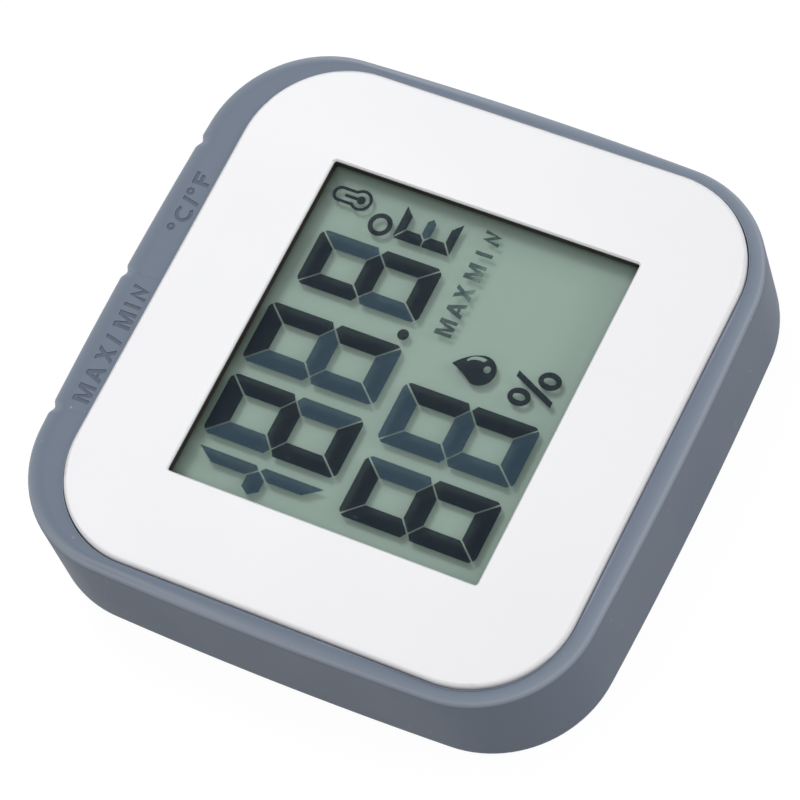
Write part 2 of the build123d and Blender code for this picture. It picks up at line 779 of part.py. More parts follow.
def make_stand():
    """Fold-out stand: a plate with a rounded heel, two pivot pips and a fingernail groove."""
    half = stand_width / 2
    plate = block(-half, half, stand_rise, stand_toe, stand_z, stand_z + stand_thickness)
    plate = fillet(plate.edges().filter_by(Axis.Z).group_by(Axis.Y)[-1], stand_corner_radius)
    axis = Pos(0, stand_rise, pivot_z) * Rot(0, 90, 0)
    stand = plate + axis * Cylinder(stand_thickness / 2, stand_width)
    stand += axis * Cylinder(pivot_radius, stand_width + 2 * pivot_length)
    groove_y = stand_toe - nail_groove_inset
    return stand - block(-nail_groove_length / 2, nail_groove_length / 2, groove_y - nail_groove_width,
                         groove_y, stand_z - overrun, stand_z + nail_groove_depth)


def save(node, pieces):
    """Write one node: a single solid, or a group of separate solids."""
    group = pieces if isinstance(pieces, list) else [pieces]
    solids = [solid for piece in group for solid in piece.solids()]
    shape = solids[0] if len(solids) == 1 else Compound(children=solids)
    shape.label = node
    export_step(shape, f"parts/{node}.step")


def build():
    """Make every piece and write it."""
    os.makedirs("parts", exist_ok=True)
    outer = make_outer_form()
    save("sleeve", make_sleeve(outer))
    save("front_panel", make_front_panel())
    save("lcd_gasket", make_gasket())
    save("lcd_polariser", glass_slab(polariser_inset, 0, polariser_z, gasket_z))
    save("lcd_front_glass", glass_slab(0, contact_ledge, front_glass_z, polariser_z))
    save("lcd_segments", make_segments())
    save("lcd_rear_glass", glass_slab(0, 0, rear_glass_z, crystal_z))
    save("lcd_reflector", glass_slab(polariser_inset, 0, reflector_z, rear_glass_z))
    save("lcd_frame", make_lcd_frame())
    save("zebra_strip", make_zebra_strip())
    save("circuit_board", make_board())
    save("board_screws", make_board_screws())
    save("chip_blob", make_chip())
    save("watch_crystal", make_watch_crystal())
    save("capacitors", make_small_parts(capacitor_count, 0, capacitor_height))
    save("resistors", make_small_parts(resistor_count, 1, resistor_height))
    save("humidity_sensor", make_humidity_sensor())
    save("thermistor", make_thermistor())
    for name, side in (("max_min", -1), ("unit", 1)):
        save(f"{name}_key", make_key(outer, side))
        save(f"{name}_switch", make_switch(side))
        save(f"{name}_plunger", make_plunger(side))
    save("rear_case", make_rear_case())
    save("case_screws", make_case_screws())
    save("magnets", make_magnets())
    save("coin_cell", make_cell())
    save("negative_contact", make_negative_contact())
    save("positive_contact", make_positive_contact())
    save("battery_door", make_door())
    save("stand", make_stand())
    print(f"thickness {panel_z:.2f}, key fold at y {hinge_y:.3f} z {sleeve_front:.3f}")
    print(f"key nibs at z {switch_z:.3f}, stand pivot at y {stand_rise:.3f} z {pivot_z:.3f}")


build()
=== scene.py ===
"""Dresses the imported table-top temperature and humidity sensor and sets up its portrait.

Lengths are in millimetres unless a name says otherwise, and meshes are scaled to metres as they are
made. +X is the reader's right, +Y the edge with the two keys, and +Z the way the display faces.
"""
import logging
import math
from collections.abc import Callable, Sequence
from dataclasses import dataclass, field
from enum import Enum
from typing import ClassVar

import bmesh
import bpy
from mathutils import Matrix, Vector
from mathutils.geometry import tessellate_polygon


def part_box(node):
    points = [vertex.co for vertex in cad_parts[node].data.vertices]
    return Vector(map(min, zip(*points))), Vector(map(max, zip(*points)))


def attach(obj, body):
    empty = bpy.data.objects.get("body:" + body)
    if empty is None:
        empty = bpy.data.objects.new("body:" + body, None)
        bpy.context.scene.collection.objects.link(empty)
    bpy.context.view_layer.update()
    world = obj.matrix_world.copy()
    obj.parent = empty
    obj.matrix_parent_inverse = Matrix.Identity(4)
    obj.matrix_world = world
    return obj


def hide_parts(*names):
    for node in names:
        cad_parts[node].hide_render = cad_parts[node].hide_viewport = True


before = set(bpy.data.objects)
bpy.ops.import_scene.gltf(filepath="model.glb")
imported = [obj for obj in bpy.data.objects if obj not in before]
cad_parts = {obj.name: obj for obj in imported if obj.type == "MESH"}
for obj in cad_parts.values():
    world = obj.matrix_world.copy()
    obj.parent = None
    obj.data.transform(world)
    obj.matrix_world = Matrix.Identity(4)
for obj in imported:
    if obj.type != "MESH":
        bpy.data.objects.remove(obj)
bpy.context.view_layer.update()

MM = 0.001
WELD = 0.0005
LOG = logging.getLogger("sensor")

Place = tuple[float, float]
Point = tuple[float, float, float]
Colour = tuple[float, float, float, float]
Loops = list[list[Place]]
WHITE: Colour = (1.0, 1.0, 1.0, 1.0)


def linear(code: str) -> Colour:
    """Turns six hexadecimal digits into linear light by the sRGB curve.

    Args:
        code: Red, green and blue in two digits each, as on a screen.

    Returns:
        The colour as four linear values, the last one 1.
    """
    parts = [int(code[i:i + 2], 16) / 255 for i in (0, 2, 4)]
    red, green, blue = (c / 12.92 if c <= 0.04045 else ((c + 0.055) / 1.055) ** 2.4 for c in parts)
    return red, green, blue, 1.0


def smoothstep(value: float) -> float:
    """Returns an even rise from 0 to 1 as the value goes from 0 to 1."""
    share = min(max(value, 0.0), 1.0)
    return share * share * (3 - 2 * share)


class Graph:
    """Adds nodes to one shader or geometry tree and links them."""

    def __init__(self, tree: bpy.types.NodeTree) -> None:
        """Starts with the tree that the nodes go into."""
        self.tree = tree

    def add(self, kind: str, inputs: dict | None = None, **settings: object) -> bpy.types.Node:
        """Adds a node.

        Args:
            kind: Blender's name for the node's type.
            inputs: Values or sockets for its inputs, by name or number.
            settings: Values for the node's own properties.

        Returns:
            The new node.
        """
        node = self.tree.nodes.new(kind)
        for name, value in settings.items():
            setattr(node, name, value)
        for key, value in (inputs or {}).items():
            if isinstance(value, bpy.types.NodeSocket):
                self.tree.links.new(value, node.inputs[key])
            else:
                node.inputs[key].default_value = value
        return node

    def sum(self, operation: str, first: object, second: object = 0.0) -> bpy.types.NodeSocket:
        """Returns the result of one sum on two values or sockets."""
        return self.add("ShaderNodeMath", {0: first, 1: second}, operation=operation).outputs[0]

    def mix(self, factor: object, first: object, second: object) -> bpy.types.NodeSocket:
        """Returns a colour between two colours."""
        return self.add("ShaderNodeMix", {0: factor, 6: first, 7: second}, data_type="RGBA").outputs[2]

    def spread(self, value: object, low: object, high: object, to_low: float = 0.0,
               to_high: float = 1.0) -> bpy.types.NodeSocket:
        """Returns a value moved from one range to another and kept inside it."""
        names = {"Value": value, "From Min": low, "From Max": high, "To Min": to_low, "To Max": to_high}
        return self.add("ShaderNodeMapRange", names).outputs[0]

    def noise(self, vector: object, scale: object, detail: float = 2.0) -> bpy.types.NodeSocket:
        """Returns soft noise from 0 to 1 at a scale."""
        node = self.add("ShaderNodeTexNoise", {"Vector": vector, "Scale": scale, "Detail": detail})
        return node.outputs[0]

    def object_place(self) -> bpy.types.NodeSocket:
        """Returns the place on the object, in its own coordinates."""
        return self.add("ShaderNodeTexCoord").outputs["Object"]

    def hand_over(self, node: bpy.types.Node, sockets: dict[str, bpy.types.NodeSocket]) -> None:
        """Links sockets to a node's inputs by name."""
        for name, socket in sockets.items():
            self.tree.links.new(socket, node.inputs[name])


def new_group(name: str, inputs: Sequence[tuple], outputs: Sequence[tuple]) -> tuple:
    """Makes an empty shader group with named sockets.

    Args:
        name: The group's name.
        inputs: Name, socket type and value of each input.
        outputs: Name and socket type of each output.

    Returns:
        The group's tree, its graph, its input node and its output node.
    """
    tree = bpy.data.node_groups.new(name, "ShaderNodeTree")
    for socket_name, kind, value in inputs:
        socket = tree.interface.new_socket(socket_name, in_out="INPUT", socket_type=kind)
        socket.default_value = value
    for socket_name, kind in outputs:
        tree.interface.new_socket(socket_name, in_out="OUTPUT", socket_type=kind)
    graph = Graph(tree)
    return tree, graph, graph.add("NodeGroupInput"), graph.add("NodeGroupOutput")


FLOAT, COLOUR, VECTOR = "NodeSocketFloat", "NodeSocketColor", "NodeSocketVector"


class SharedEffects:
    """Shader groups that several finishes use, each built once."""

    PATCH_SHARE, GRAIN_SHARE = 1.4, 0.6
    GRAIN_DETAIL = 3.0
    SMALLEST_SPECK = 0.3
    LINE_TURNS = ((0.5, 0.0), (-1.1, 0.37))
    LINE_STRETCH = (1.0, 0.09, 1.0)

    def __init__(self) -> None:
        """Builds every group."""
        self.surface = self.build_surface()
        self.dust = self.build_dust()
        self.hairlines = self.build_hairlines()
        # Mask of a painted highlight along rounded outer edges.
        self.edges = self.build_edge_highlight()

    def build_surface(self) -> bpy.types.NodeTree:
        """Returns a colour that wanders in soft patches, with a fine grain in gloss and relief."""
        tree, graph, given, result = new_group(
            "moulded_surface",
            [("Base Colour", COLOUR, WHITE), ("Wander", FLOAT, 0.04), ("Patch Scale", FLOAT, 150.0),
             ("Grain Scale", FLOAT, 6000.0), ("Relief", FLOAT, 0.000003), ("Roughness", FLOAT, 0.5),
             ("Gloss Change", FLOAT, 0.1), ("Stretch", VECTOR, (1, 1, 1))],
            [("Colour", COLOUR), ("Roughness", FLOAT), ("Normal", VECTOR)])
        place = graph.add("ShaderNodeVectorMath", {0: graph.object_place(), 1: given.outputs["Stretch"]},
                          operation="MULTIPLY").outputs[0]
        patches = graph.noise(place, given.outputs["Patch Scale"])
        grain = graph.noise(place, given.outputs["Grain Scale"], self.GRAIN_DETAIL)
        both = graph.sum("ADD", graph.sum("MULTIPLY", patches, self.PATCH_SHARE),
                         graph.sum("MULTIPLY", grain, self.GRAIN_SHARE))
        change = graph.sum("MULTIPLY", graph.sum("SUBTRACT", both, 1.0), given.outputs["Wander"])
        level = graph.sum("ADD", graph.sum("MULTIPLY", change, 2.0), 1.0)
        colour = graph.add("ShaderNodeVectorMath", {0: given.outputs["Base Colour"], "Scale": level},
                           operation="SCALE")
        uneven = graph.sum("MULTIPLY", graph.sum("SUBTRACT", both, 1.0), given.outputs["Gloss Change"])
        rough = graph.sum("ADD", given.outputs["Roughness"], uneven)
        bump = graph.add("ShaderNodeBump", {"Height": grain, "Distance": given.outputs["Relief"]})
        graph.hand_over(result, {"Colour": colour.outputs[0], "Roughness": rough,
                                 "Normal": bump.outputs[0]})
        return tree

    def build_dust(self) -> bpy.types.NodeTree:
        """Returns a mask of sparse round specks."""
        tree, graph, given, result = new_group(
            "dust_specks",
            [("Cell Scale", FLOAT, 900.0), ("Speck Size", FLOAT, 0.09), ("Share", FLOAT, 0.2)],
            [("Mask", FLOAT)])
        cells = graph.add("ShaderNodeTexVoronoi",
                          {"Vector": graph.object_place(), "Scale": given.outputs["Cell Scale"]})
        tint = graph.add("ShaderNodeSeparateColor", {0: cells.outputs["Color"]})
        chosen = graph.sum("LESS_THAN", tint.outputs[0], given.outputs["Share"])
        spread = graph.sum("ADD", tint.outputs[1], self.SMALLEST_SPECK)
        size = graph.sum("MULTIPLY", given.outputs["Speck Size"], spread)
        near = graph.sum("LESS_THAN", cells.outputs["Distance"], size)
        graph.hand_over(result, {"Mask": graph.sum("MULTIPLY", chosen, near)})
        return tree

    def build_hairlines(self) -> bpy.types.NodeTree:
        """Returns a mask of short fine scratches that lie in two directions."""
        tree, graph, given, result = new_group(
            "hairlines",
            [("Cell Scale", FLOAT, 600.0), ("Line Size", FLOAT, 0.05), ("Share", FLOAT, 0.25)],
            [("Mask", FLOAT)])
        masks = []
        for turn, shift in self.LINE_TURNS:
            place = graph.add("ShaderNodeMapping", {
                "Vector": graph.object_place(), "Location": (shift, shift, shift),
                "Rotation": (0.0, 0.0, turn), "Scale": self.LINE_STRETCH}).outputs[0]
            cells = graph.add("ShaderNodeTexVoronoi",
                              {"Vector": place, "Scale": given.outputs["Cell Scale"]})
            tint = graph.add("ShaderNodeSeparateColor", {0: cells.outputs["Color"]})
            chosen = graph.sum("LESS_THAN", tint.outputs[0], given.outputs["Share"])
            near = graph.sum("LESS_THAN", cells.outputs["Distance"], given.outputs["Line Size"])
            masks.append(graph.sum("MULTIPLY", chosen, near))
        graph.hand_over(result, {"Mask": graph.sum("MAXIMUM", *masks)})
        return tree

    def build_edge_highlight(self) -> bpy.types.NodeTree:
        """Returns the mask of a painted highlight along rounded outer edges: 0 on a face that lies flat
        or stands, 1 between them.
        """
        tree, graph, given, result = new_group(
            "painted_edge_highlight", [("Flat", FLOAT, 0.99), ("Leaning", FLOAT, 0.8), ("Steep", FLOAT, 0.5),
                             ("Upright", FLOAT, 0.12)], [("Mask", FLOAT)])
        facing = graph.add("ShaderNodeTexCoord").outputs["Normal"]
        height = graph.add("ShaderNodeSeparateXYZ", {0: facing}).outputs[2]
        falling = graph.spread(height, given.outputs["Flat"], given.outputs["Leaning"])
        rising = graph.spread(height, given.outputs["Upright"], given.outputs["Steep"])
        graph.hand_over(result, {"Mask": graph.sum("MULTIPLY", falling, rising)})
        return tree


@dataclass(frozen=True)
class Finish:
    """A finish: a base colour that wanders a little, with gloss, grain, dust, hairlines and a painted
    highlight along rounded edges.

    Sizes of patches, grain and relief are in millimetres; the rest are shares.
    """

    name: str
    colour: str
    roughness: float = 0.5
    metallic: float = 0.0
    wander: float = 0.04
    patch: float = 7.0
    grain: float = 0.15
    relief: float = 0.003
    gloss_change: float = 0.1
    stretch: Point = (1.0, 1.0, 1.0)
    alpha: float = 1.0
    coat: float = 0.0
    specular: float = 0.5
    dust: float = 0.0
    hairline: float = 0.0
    dust_colour: str = "b4bac4"
    # Weight and colour of a painted highlight along rounded edges.
    edge_highlight_weight: float = 0.0
    edge_highlight_colour: str = "9fa8b5"

    def make(self, effects: SharedEffects) -> bpy.types.Material:
        """Builds the material.

        Args:
            effects: The shader groups that finishes share.

        Returns:
            The finished material.
        """
        material = bpy.data.materials.new(self.name)
        material.use_nodes = True
        graph = Graph(material.node_tree)
        shader = graph.tree.nodes["Principled BSDF"]
        surface = graph.add("ShaderNodeGroup", {
            "Base Colour": linear(self.colour), "Wander": self.wander,
            "Patch Scale": 1 / (self.patch * MM), "Grain Scale": 1 / (self.grain * MM),
            "Relief": self.relief * MM, "Roughness": self.roughness,
            "Gloss Change": self.gloss_change, "Stretch": self.stretch,
        }, node_tree=effects.surface).outputs
        colour = self.with_wear_and_edge_highlight(graph, effects, self.drawn(graph, surface["Colour"]))
        graph.hand_over(shader, {"Base Color": colour, "Roughness": surface["Roughness"],
                                 "Normal": surface["Normal"]})
        levels = {"Metallic": self.metallic, "Alpha": self.alpha, "Coat Weight": self.coat,
                  "Specular IOR Level": self.specular}
        for name, value in levels.items():
            shader.inputs[name].default_value = value
        return material

    def drawn(self, graph: Graph, colour: bpy.types.NodeSocket) -> bpy.types.NodeSocket:
        """Draws what a kind of finish shows of its own.

        Args:
            graph: The material's graph.
            colour: The plain colour.

        Returns:
            The colour under the wear.
        """
        return colour

    def with_wear_and_edge_highlight(self, graph: Graph, effects: SharedEffects,
                  colour: bpy.types.NodeSocket) -> bpy.types.NodeSocket:
        """Lays a painted highlight along rounded edges, hairlines and dust over a colour.

        Args:
            graph: The material's graph.
            effects: The shader groups that finishes share.
            colour: The colour under the wear.

        Returns:
            The colour with its wear and its painted edge highlight.
        """
        # The first layer paints a highlight along rounded edges; hairlines and dust are wear.
        layers = ((self.edge_highlight_weight, effects.edges, self.edge_highlight_colour),
                  (self.hairline, effects.hairlines, self.dust_colour),
                  (self.dust, effects.dust, self.dust_colour))
        for weight, group, tint in layers:
            if weight:
                mask = graph.add("ShaderNodeGroup", node_tree=group).outputs["Mask"]
                colour = graph.mix(graph.sum("MULTIPLY", mask, weight), colour, linear(tint))
        return colour


@dataclass(frozen=True)
class BoardFinish(Finish):
    """Solder mask over copper tracks, which show as a paler pattern."""

    track_colour: str = "2f7a4c"
    track_pitch: float = 1.6
    track_width: float = 0.05

    def drawn(self, graph: Graph, colour: bpy.types.NodeSocket) -> bpy.types.NodeSocket:
        """Draws the tracks under the solder mask."""
        tracks = graph.add("ShaderNodeTexBrick", {
            "Vector": graph.object_place(), "Scale": 1 / (self.track_pitch * MM),
            "Mortar Size": self.track_width}).outputs[1]
        return graph.mix(tracks, colour, linear(self.track_colour))


@dataclass(frozen=True)
class LayeredFinish(Finish):
    """Rubber of thin pale and dark layers that lie side by side along X."""

    layer_colour: str = "2b2a28"
    bands_per_scale: float = 10 / math.pi
    layer_pitch: float = 0.2
    layer_edge: Place = (0.45, 0.55)

    def drawn(self, graph: Graph, colour: bpy.types.NodeSocket) -> bpy.types.NodeSocket:
        """Draws the dark layers."""
        scale = 1 / (self.bands_per_scale * self.layer_pitch * MM)
        waves = graph.add("ShaderNodeTexWave", {"Vector": graph.object_place(), "Scale": scale})
        dark = graph.spread(waves.outputs["Fac"], *self.layer_edge)
        return graph.mix(dark, colour, linear(self.layer_colour))


@dataclass(frozen=True)
class FadedFinish(Finish):
    """Ink that has partly faded in one soft patch, placed in millimetres."""

    faded_colour: str = "7d918c"
    centre: Place = (11.2, -3.75)
    reach: Place = (2.7, 1.15)
    softness: Place = (0.35, 1.3)
    strength: float = 0.8

    def drawn(self, graph: Graph, colour: bpy.types.NodeSocket) -> bpy.types.NodeSocket:
        """Fades the ink inside the patch."""
        place = graph.add("ShaderNodeSeparateXYZ", {0: graph.object_place()}).outputs
        offsets = [graph.sum("SUBTRACT", place[i], self.centre[i] * MM) for i in (0, 1)]
        offsets = [graph.sum("DIVIDE", offset, reach * MM) for offset, reach in zip(offsets, self.reach)]
        far = graph.sum("ADD", *(graph.sum("MULTIPLY", offset, offset) for offset in offsets))
        patch = graph.spread(far, *self.softness, self.strength, 0.0)
        return graph.mix(patch, colour, linear(self.faded_colour))


@dataclass(frozen=True)
class ShadedFinish(Finish):
    """A backing that darkens towards the window's top and right edges, placed in millimetres."""

    shade_colour: str = "241c14"
    clear: Place = (17.1, 14.2)
    covered: Place = (18.7, 16.1)
    steepness: float = 2.0
    strength: float = 0.5

    def drawn(self, graph: Graph, colour: bpy.types.NodeSocket) -> bpy.types.NodeSocket:
        """Darkens the backing near both edges."""
        place = graph.add("ShaderNodeSeparateXYZ", {0: graph.object_place()}).outputs
        near = [graph.spread(place[i], self.clear[i] * MM, self.covered[i] * MM) for i in (0, 1)]
        shade = graph.sum("POWER", graph.sum("MAXIMUM", *near), self.steepness)
        return graph.mix(graph.sum("MULTIPLY", shade, self.strength), colour, linear(self.shade_colour))


FINISHES = {finish.name: finish for finish in (
    # The grey silicone carries a painted highlight along its rounded edges.
    Finish("grey_silicone", "768191", wander=0.03, patch=9.0, grain=0.09, relief=0.0025, dust=0.5,
           hairline=0.2, specular=0.15, edge_highlight_weight=0.95),
    # Darker silicone for the sunk legends: painted shade in their shallow recesses.
    Finish("silicone_with_painted_recess_shade", "646e7d", 0.7, wander=0.03, grain=0.09, relief=0.004, specular=0.25),
    Finish("white_abs", "eeeef1", 0.33, wander=0.006, patch=14.0, grain=0.2, relief=0.0008,
           gloss_change=0.05, dust=0.06, dust_colour="b9bcc2"),
    Finish("rear_abs", "e4e5e8", wander=0.012, patch=12.0, grain=0.16, relief=0.006, dust=0.15,
           dust_colour="aeb2b8"),
    Finish("black_foam", "383530", 0.9, wander=0.3, patch=2.0, grain=0.12, relief=0.02, specular=0.1),
    Finish("display_film", "20262a", 0.4, wander=0.05, grain=0.06, relief=0.0004, alpha=0.03,
           specular=0.3),
    Finish("display_glass", "d6e2dc", 0.15, wander=0.05, alpha=0.02, relief=0.0),
    ShadedFinish("display_reflector", "9eb4a9", 0.65, wander=0.035, patch=16.0, grain=0.07,
                 relief=0.0006, specular=0.2),
    Finish("segment_dark", "001223", wander=0.12, patch=2.6, grain=0.1, relief=0.0004, alpha=0.66,
           dust=0.5, dust_colour="5c7187", specular=0.08),
    Finish("segment_blue", "2d4659", wander=0.08, patch=3.5, grain=0.1, relief=0.0004, alpha=0.6,
           dust=0.5, dust_colour="6d8298", specular=0.08),
    Finish("icon_ink", "1f2b34", wander=0.12, patch=1.5, alpha=0.8, specular=0.08),
    FadedFinish("caption_ink", "223a44", wander=0.1, patch=2.2, alpha=0.5, specular=0.08),
    Finish("white_inner_plastic", "dcdcd8", wander=0.02),
    LayeredFinish("zebra_rubber", "cfc6b4", 0.7),
    BoardFinish("green_board", "14512b", 0.35, wander=0.05, patch=5.0, coat=0.3),
    Finish("plated_steel", "b9bab8", 0.32, 1.0, wander=0.05, patch=0.8, relief=0.001),
    Finish("black_epoxy", "171717", 0.25, wander=0.1, patch=2.0),
    Finish("ceramic_chip", "b0936c", wander=0.06, patch=0.8),
    Finish("sensor_plastic", "e8e8e4", 0.75, wander=0.03, grain=0.3, relief=0.02),
    Finish("switch_plastic", "222323", 0.45, wander=0.05),
    Finish("plunger_plastic", "a8503f", 0.45, wander=0.05),
    Finish("magnet_plating", "c9c9c6", 0.18, 1.0, wander=0.03, patch=2.0, relief=0.0005),
    Finish("cell_steel", "c6c7c5", 0.3, 1.0, wander=0.04, patch=0.5, stretch=(1.0, 0.04, 1.0),
           relief=0.001),
    Finish("spring_steel", "c2bfb4", 0.28, 1.0, wander=0.04, patch=0.6, stretch=(0.05, 1.0, 1.0),
           relief=0.001),
)}


class Palette:
    """Makes each finish once, when a piece first asks for it."""

    def __init__(self) -> None:
        """Builds the shared effects."""
        self.effects = SharedEffects()
        self.made: dict[str, bpy.types.Material] = {}

    def get(self, name: str) -> bpy.types.Material:
        """Returns the material of a finish."""
        if name not in self.made:
            self.made[name] = FINISHES[name].make(self.effects)
        return self.made[name]

    def dress(self, node: str, name: str) -> None:
        """Gives a piece of the frame a finish."""
        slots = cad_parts[node].data.materials
        slots.clear()
        slots.append(self.get(name))


class Draft:
    """Collects points in millimetres and faces, and turns them into one object."""

    def __init__(self) -> None:
        """Starts empty."""
        self.points: list[Point] = []
        self.faces: list[list[int]] = []
        self.changes: list[tuple[int, int]] = [(0, 0)]

    def paint(self, number: int) -> None:
        """Gives the faces that follow the material of that number."""
        self.changes.append((len(self.faces), number))

    def row(self, points: Sequence[Point]) -> list[int]:
        """Adds points and returns their numbers."""
        first = len(self.points)
        self.points += points
        return list(range(first, len(self.points)))

    def bridge(self, low: Sequence[int], high: Sequence[int], closed: bool = True,
               keep: Callable[[int], bool] | None = None) -> None:
        """Joins two rows of points with four-sided faces.

        Args:
            low: The first row.
            high: The second row, with as many points.
            closed: Whether the last point joins the first.
            keep: Tells by its number whether a face is made.
        """
        count = len(low)
        for i in range(count if closed else count - 1):
            if keep is None or keep(i):
                j = (i + 1) % count
                self.faces.append([low[i], low[j], high[j], high[i]])

    def prism(self, loops: Sequence[Sequence[Place]], low: float, high: float) -> None:
        """Adds an upright solid with the plan of an outline and its holes.

        Args:
            loops: The outline, then any holes.
            low: Height of the underside.
            high: Height of the top.
        """
        ends = [[self.row([(x, y, z) for x, y in loop]) for loop in loops] for z in (low, high)]
        flat = [[Vector((x, y, 0)) for x, y in loop] for loop in loops]
        for end in ends:
            numbers = [n for loop in end for n in loop]
            self.faces += [[numbers[i] for i in corner] for corner in tessellate_polygon(flat)]
        for low_loop, high_loop in zip(*ends):
            self.bridge(low_loop, high_loop)

    def build(self, name: str, materials: Sequence[bpy.types.Material],
              sharp: float = 35.0) -> bpy.types.Object:
        """Makes the object, with its faces outwards.

        Args:
            name: The object's name.
            materials: Its materials.
            sharp: Angle in degrees above which an edge stays sharp.

        Returns:
            The object, linked to the scene.
        """
        mesh = bpy.data.meshes.new(name)
        mesh.from_pydata([tuple(c * MM for c in point) for point in self.points], [], self.faces)
        for first, number in self.changes:
            for polygon in mesh.polygons[first:]:
                polygon.material_index = number
        work = bmesh.new()
        work.from_mesh(mesh)
        bmesh.ops.remove_doubles(work, verts=work.verts, dist=WELD * MM)
        bmesh.ops.recalc_face_normals(work, faces=work.faces)
        work.to_mesh(mesh)
        work.free()
        return link(name, mesh, materials, sharp)


def link(name: str, mesh: bpy.types.Mesh, materials: Sequence[bpy.types.Material],
         sharp: float = 35.0) -> bpy.types.Object:
    """Makes an object from a finished mesh.

    Args:
        name: The object's name.
        mesh: Its mesh, in metres and in place.
        materials: Its materials.
        sharp: Angle in degrees above which an edge stays sharp.

    Returns:
        The object, linked to the scene.
    """
    mesh.name = name
    for material in materials[len(mesh.materials):]:
        mesh.materials.append(material)
    mesh.shade_smooth()
    mesh.set_sharp_from_angle(angle=math.radians(sharp))
    piece = bpy.data.objects.new(name, mesh)
    bpy.context.scene.collection.objects.link(piece)
    return piece


def settle(piece: bpy.types.Object, body: str, slot: str, *nodes: str) -> None:
    """Hands a finished piece to the frame and reports it.

    Args:
        piece: The piece, in place.
        body: The body that it rides on.
        slot: Not used.
        nodes: The frame's pieces that it stands for.
    """
    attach(piece, body)
    if nodes:
        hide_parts(*nodes)
    LOG.info("%s: %d faces on %s", piece.name, len(piece.data.polygons), body)


def baked(piece: bpy.types.Object) -> bpy.types.Mesh:
    """Returns a plain mesh of a piece with its modifiers applied, and removes the piece."""
    graph = bpy.context.evaluated_depsgraph_get()
    mesh = bpy.data.meshes.new_from_object(piece.evaluated_get(graph))
    bpy.data.objects.remove(piece)
    return mesh


@dataclass(frozen=True)
class Outline:
    """Rounded square whose sides may bow out, drawn as rings at any inset."""

    half_x: float
    half_y: float
    radius: float
    centre_y: float = 0.0
    crown: float = 0.0
    arc_steps: int = 24
    side_steps: int = 12

    def bow_radius(self, half: float) -> float:
        """Returns the radius of a bowed side, from half of the outline's size along that side."""
        reach = half - self.crown
        return (reach ** 2 + self.crown ** 2) / (2 * self.crown)

    def corner(self) -> tuple[float, float, float, float]:
        """Returns where a corner arc meets both bows.

        Returns:
            The arc's distance from the middle in X and Y, and its sweeps short of the X and the Y axis.
        """
        if not self.crown:
            return self.half_x - self.radius, self.half_y - self.radius, 0.0, 0.0
        side, top = self.bow_radius(self.half_y), self.bow_radius(self.half_x)
        behind, below = self.half_x - side, self.half_y - top
        reach_side, reach_top = side - self.radius, top - self.radius
        rest = (reach_side ** 2 - reach_top ** 2 - behind ** 2 + below ** 2) / (2 * below)
        slope = behind / below
        a, b, c = 1 + slope ** 2, rest * slope - behind, behind ** 2 + rest ** 2 - reach_side ** 2
        x = (math.sqrt(b * b - a * c) - b) / a
        y = rest + slope * x
        return x, y, math.asin(y / reach_side), math.asin(x / reach_top)

    def upper_side(self, along: float, inset: float) -> float:
        """Returns how far the top side lies from the middle at a place along it, at an inset."""
        return self.bowed(self.half_y, self.half_x, along, inset)

    def bowed(self, half: float, half_along: float, along: float, inset: float) -> float:
        """Returns how far a side lies from the middle line.

        Args:
            half: Half of the outline's size across that side.
            half_along: Half of its size along that side.
            along: Place along the side, from its middle.
            inset: How far the ring lies inside the outline.
        """
        if not self.crown:
            return half - inset
        bow = self.bow_radius(half_along)
        return half - bow + math.sqrt((bow - inset) ** 2 - along ** 2)

    def ring(self, inset: float, stations: Sequence[float]) -> list[Place]:
        """Draws the ring, counter-clockwise from the right end of the top right corner.

        Args:
            inset: How far the ring lies inside the outline.
            stations: Places in X along the top side, from right to left.

        Returns:
            The ring's points, as many at any inset.
        """
        reach_x, reach_y, lean_x, lean_y = self.corner()
        radius = self.radius - inset
        end_x, end_y = reach_x + radius * math.sin(lean_y), reach_y + radius * math.sin(lean_x)
        shares = [1 - 2 * i / self.side_steps for i in range(1, self.side_steps)]
        across = [self.bowed(self.half_x, self.half_y, end_y * s, inset) for s in shares]
        sides = [
            [(x, self.upper_side(x, inset)) for x in stations],
            [(-x, end_y * s) for x, s in zip(across, shares)],
            [(-end_x * s, -self.upper_side(end_x * s, inset)) for s in shares],
            [(x, -end_y * s) for x, s in zip(across, shares)],
        ]
        points: list[Place] = []
        for quarter, (sign_x, sign_y) in enumerate(((1, 1), (-1, 1), (-1, -1), (1, -1))):
            first, last = (lean_x, lean_y) if quarter % 2 == 0 else (lean_y, lean_x)
            for step in range(self.arc_steps + 1):
                sweep = first + (math.pi / 2 - first - last) * step / self.arc_steps
                angle = sweep + quarter * math.pi / 2
                points.append((sign_x * reach_x + radius * math.cos(angle),
                               sign_y * reach_y + radius * math.sin(angle)))
            points += sides[quarter]
        return [(x, y + self.centre_y) for x, y in points]


@dataclass(frozen=True)
class Line:
    """One line of a moulding: it runs round an outline at an inset and a height.

    A line of the front lip has a share instead, from 0 at the lip's inner edge to 1 at its outer edge.
    """

    outline: Outline
    inset: float
    z: float
    grooved: bool = False
    share: float | None = None


def lower_edge(outline: Outline, radius: float, steps: int = 8, guard: float = 0.03) -> list[Line]:
    """Returns the lines of a rounded edge from an upright wall to the flat face that it stands on."""
    angles = [math.pi / 2 * i / steps for i in range(steps + 1)]
    pairs = [(radius * (1 - math.cos(a)), radius * (1 - math.sin(a))) for a in angles]
    places = [(0.0, radius + guard), *pairs, (radius + guard, 0.0)]
    return [Line(outline, inset, z) for inset, z in places]


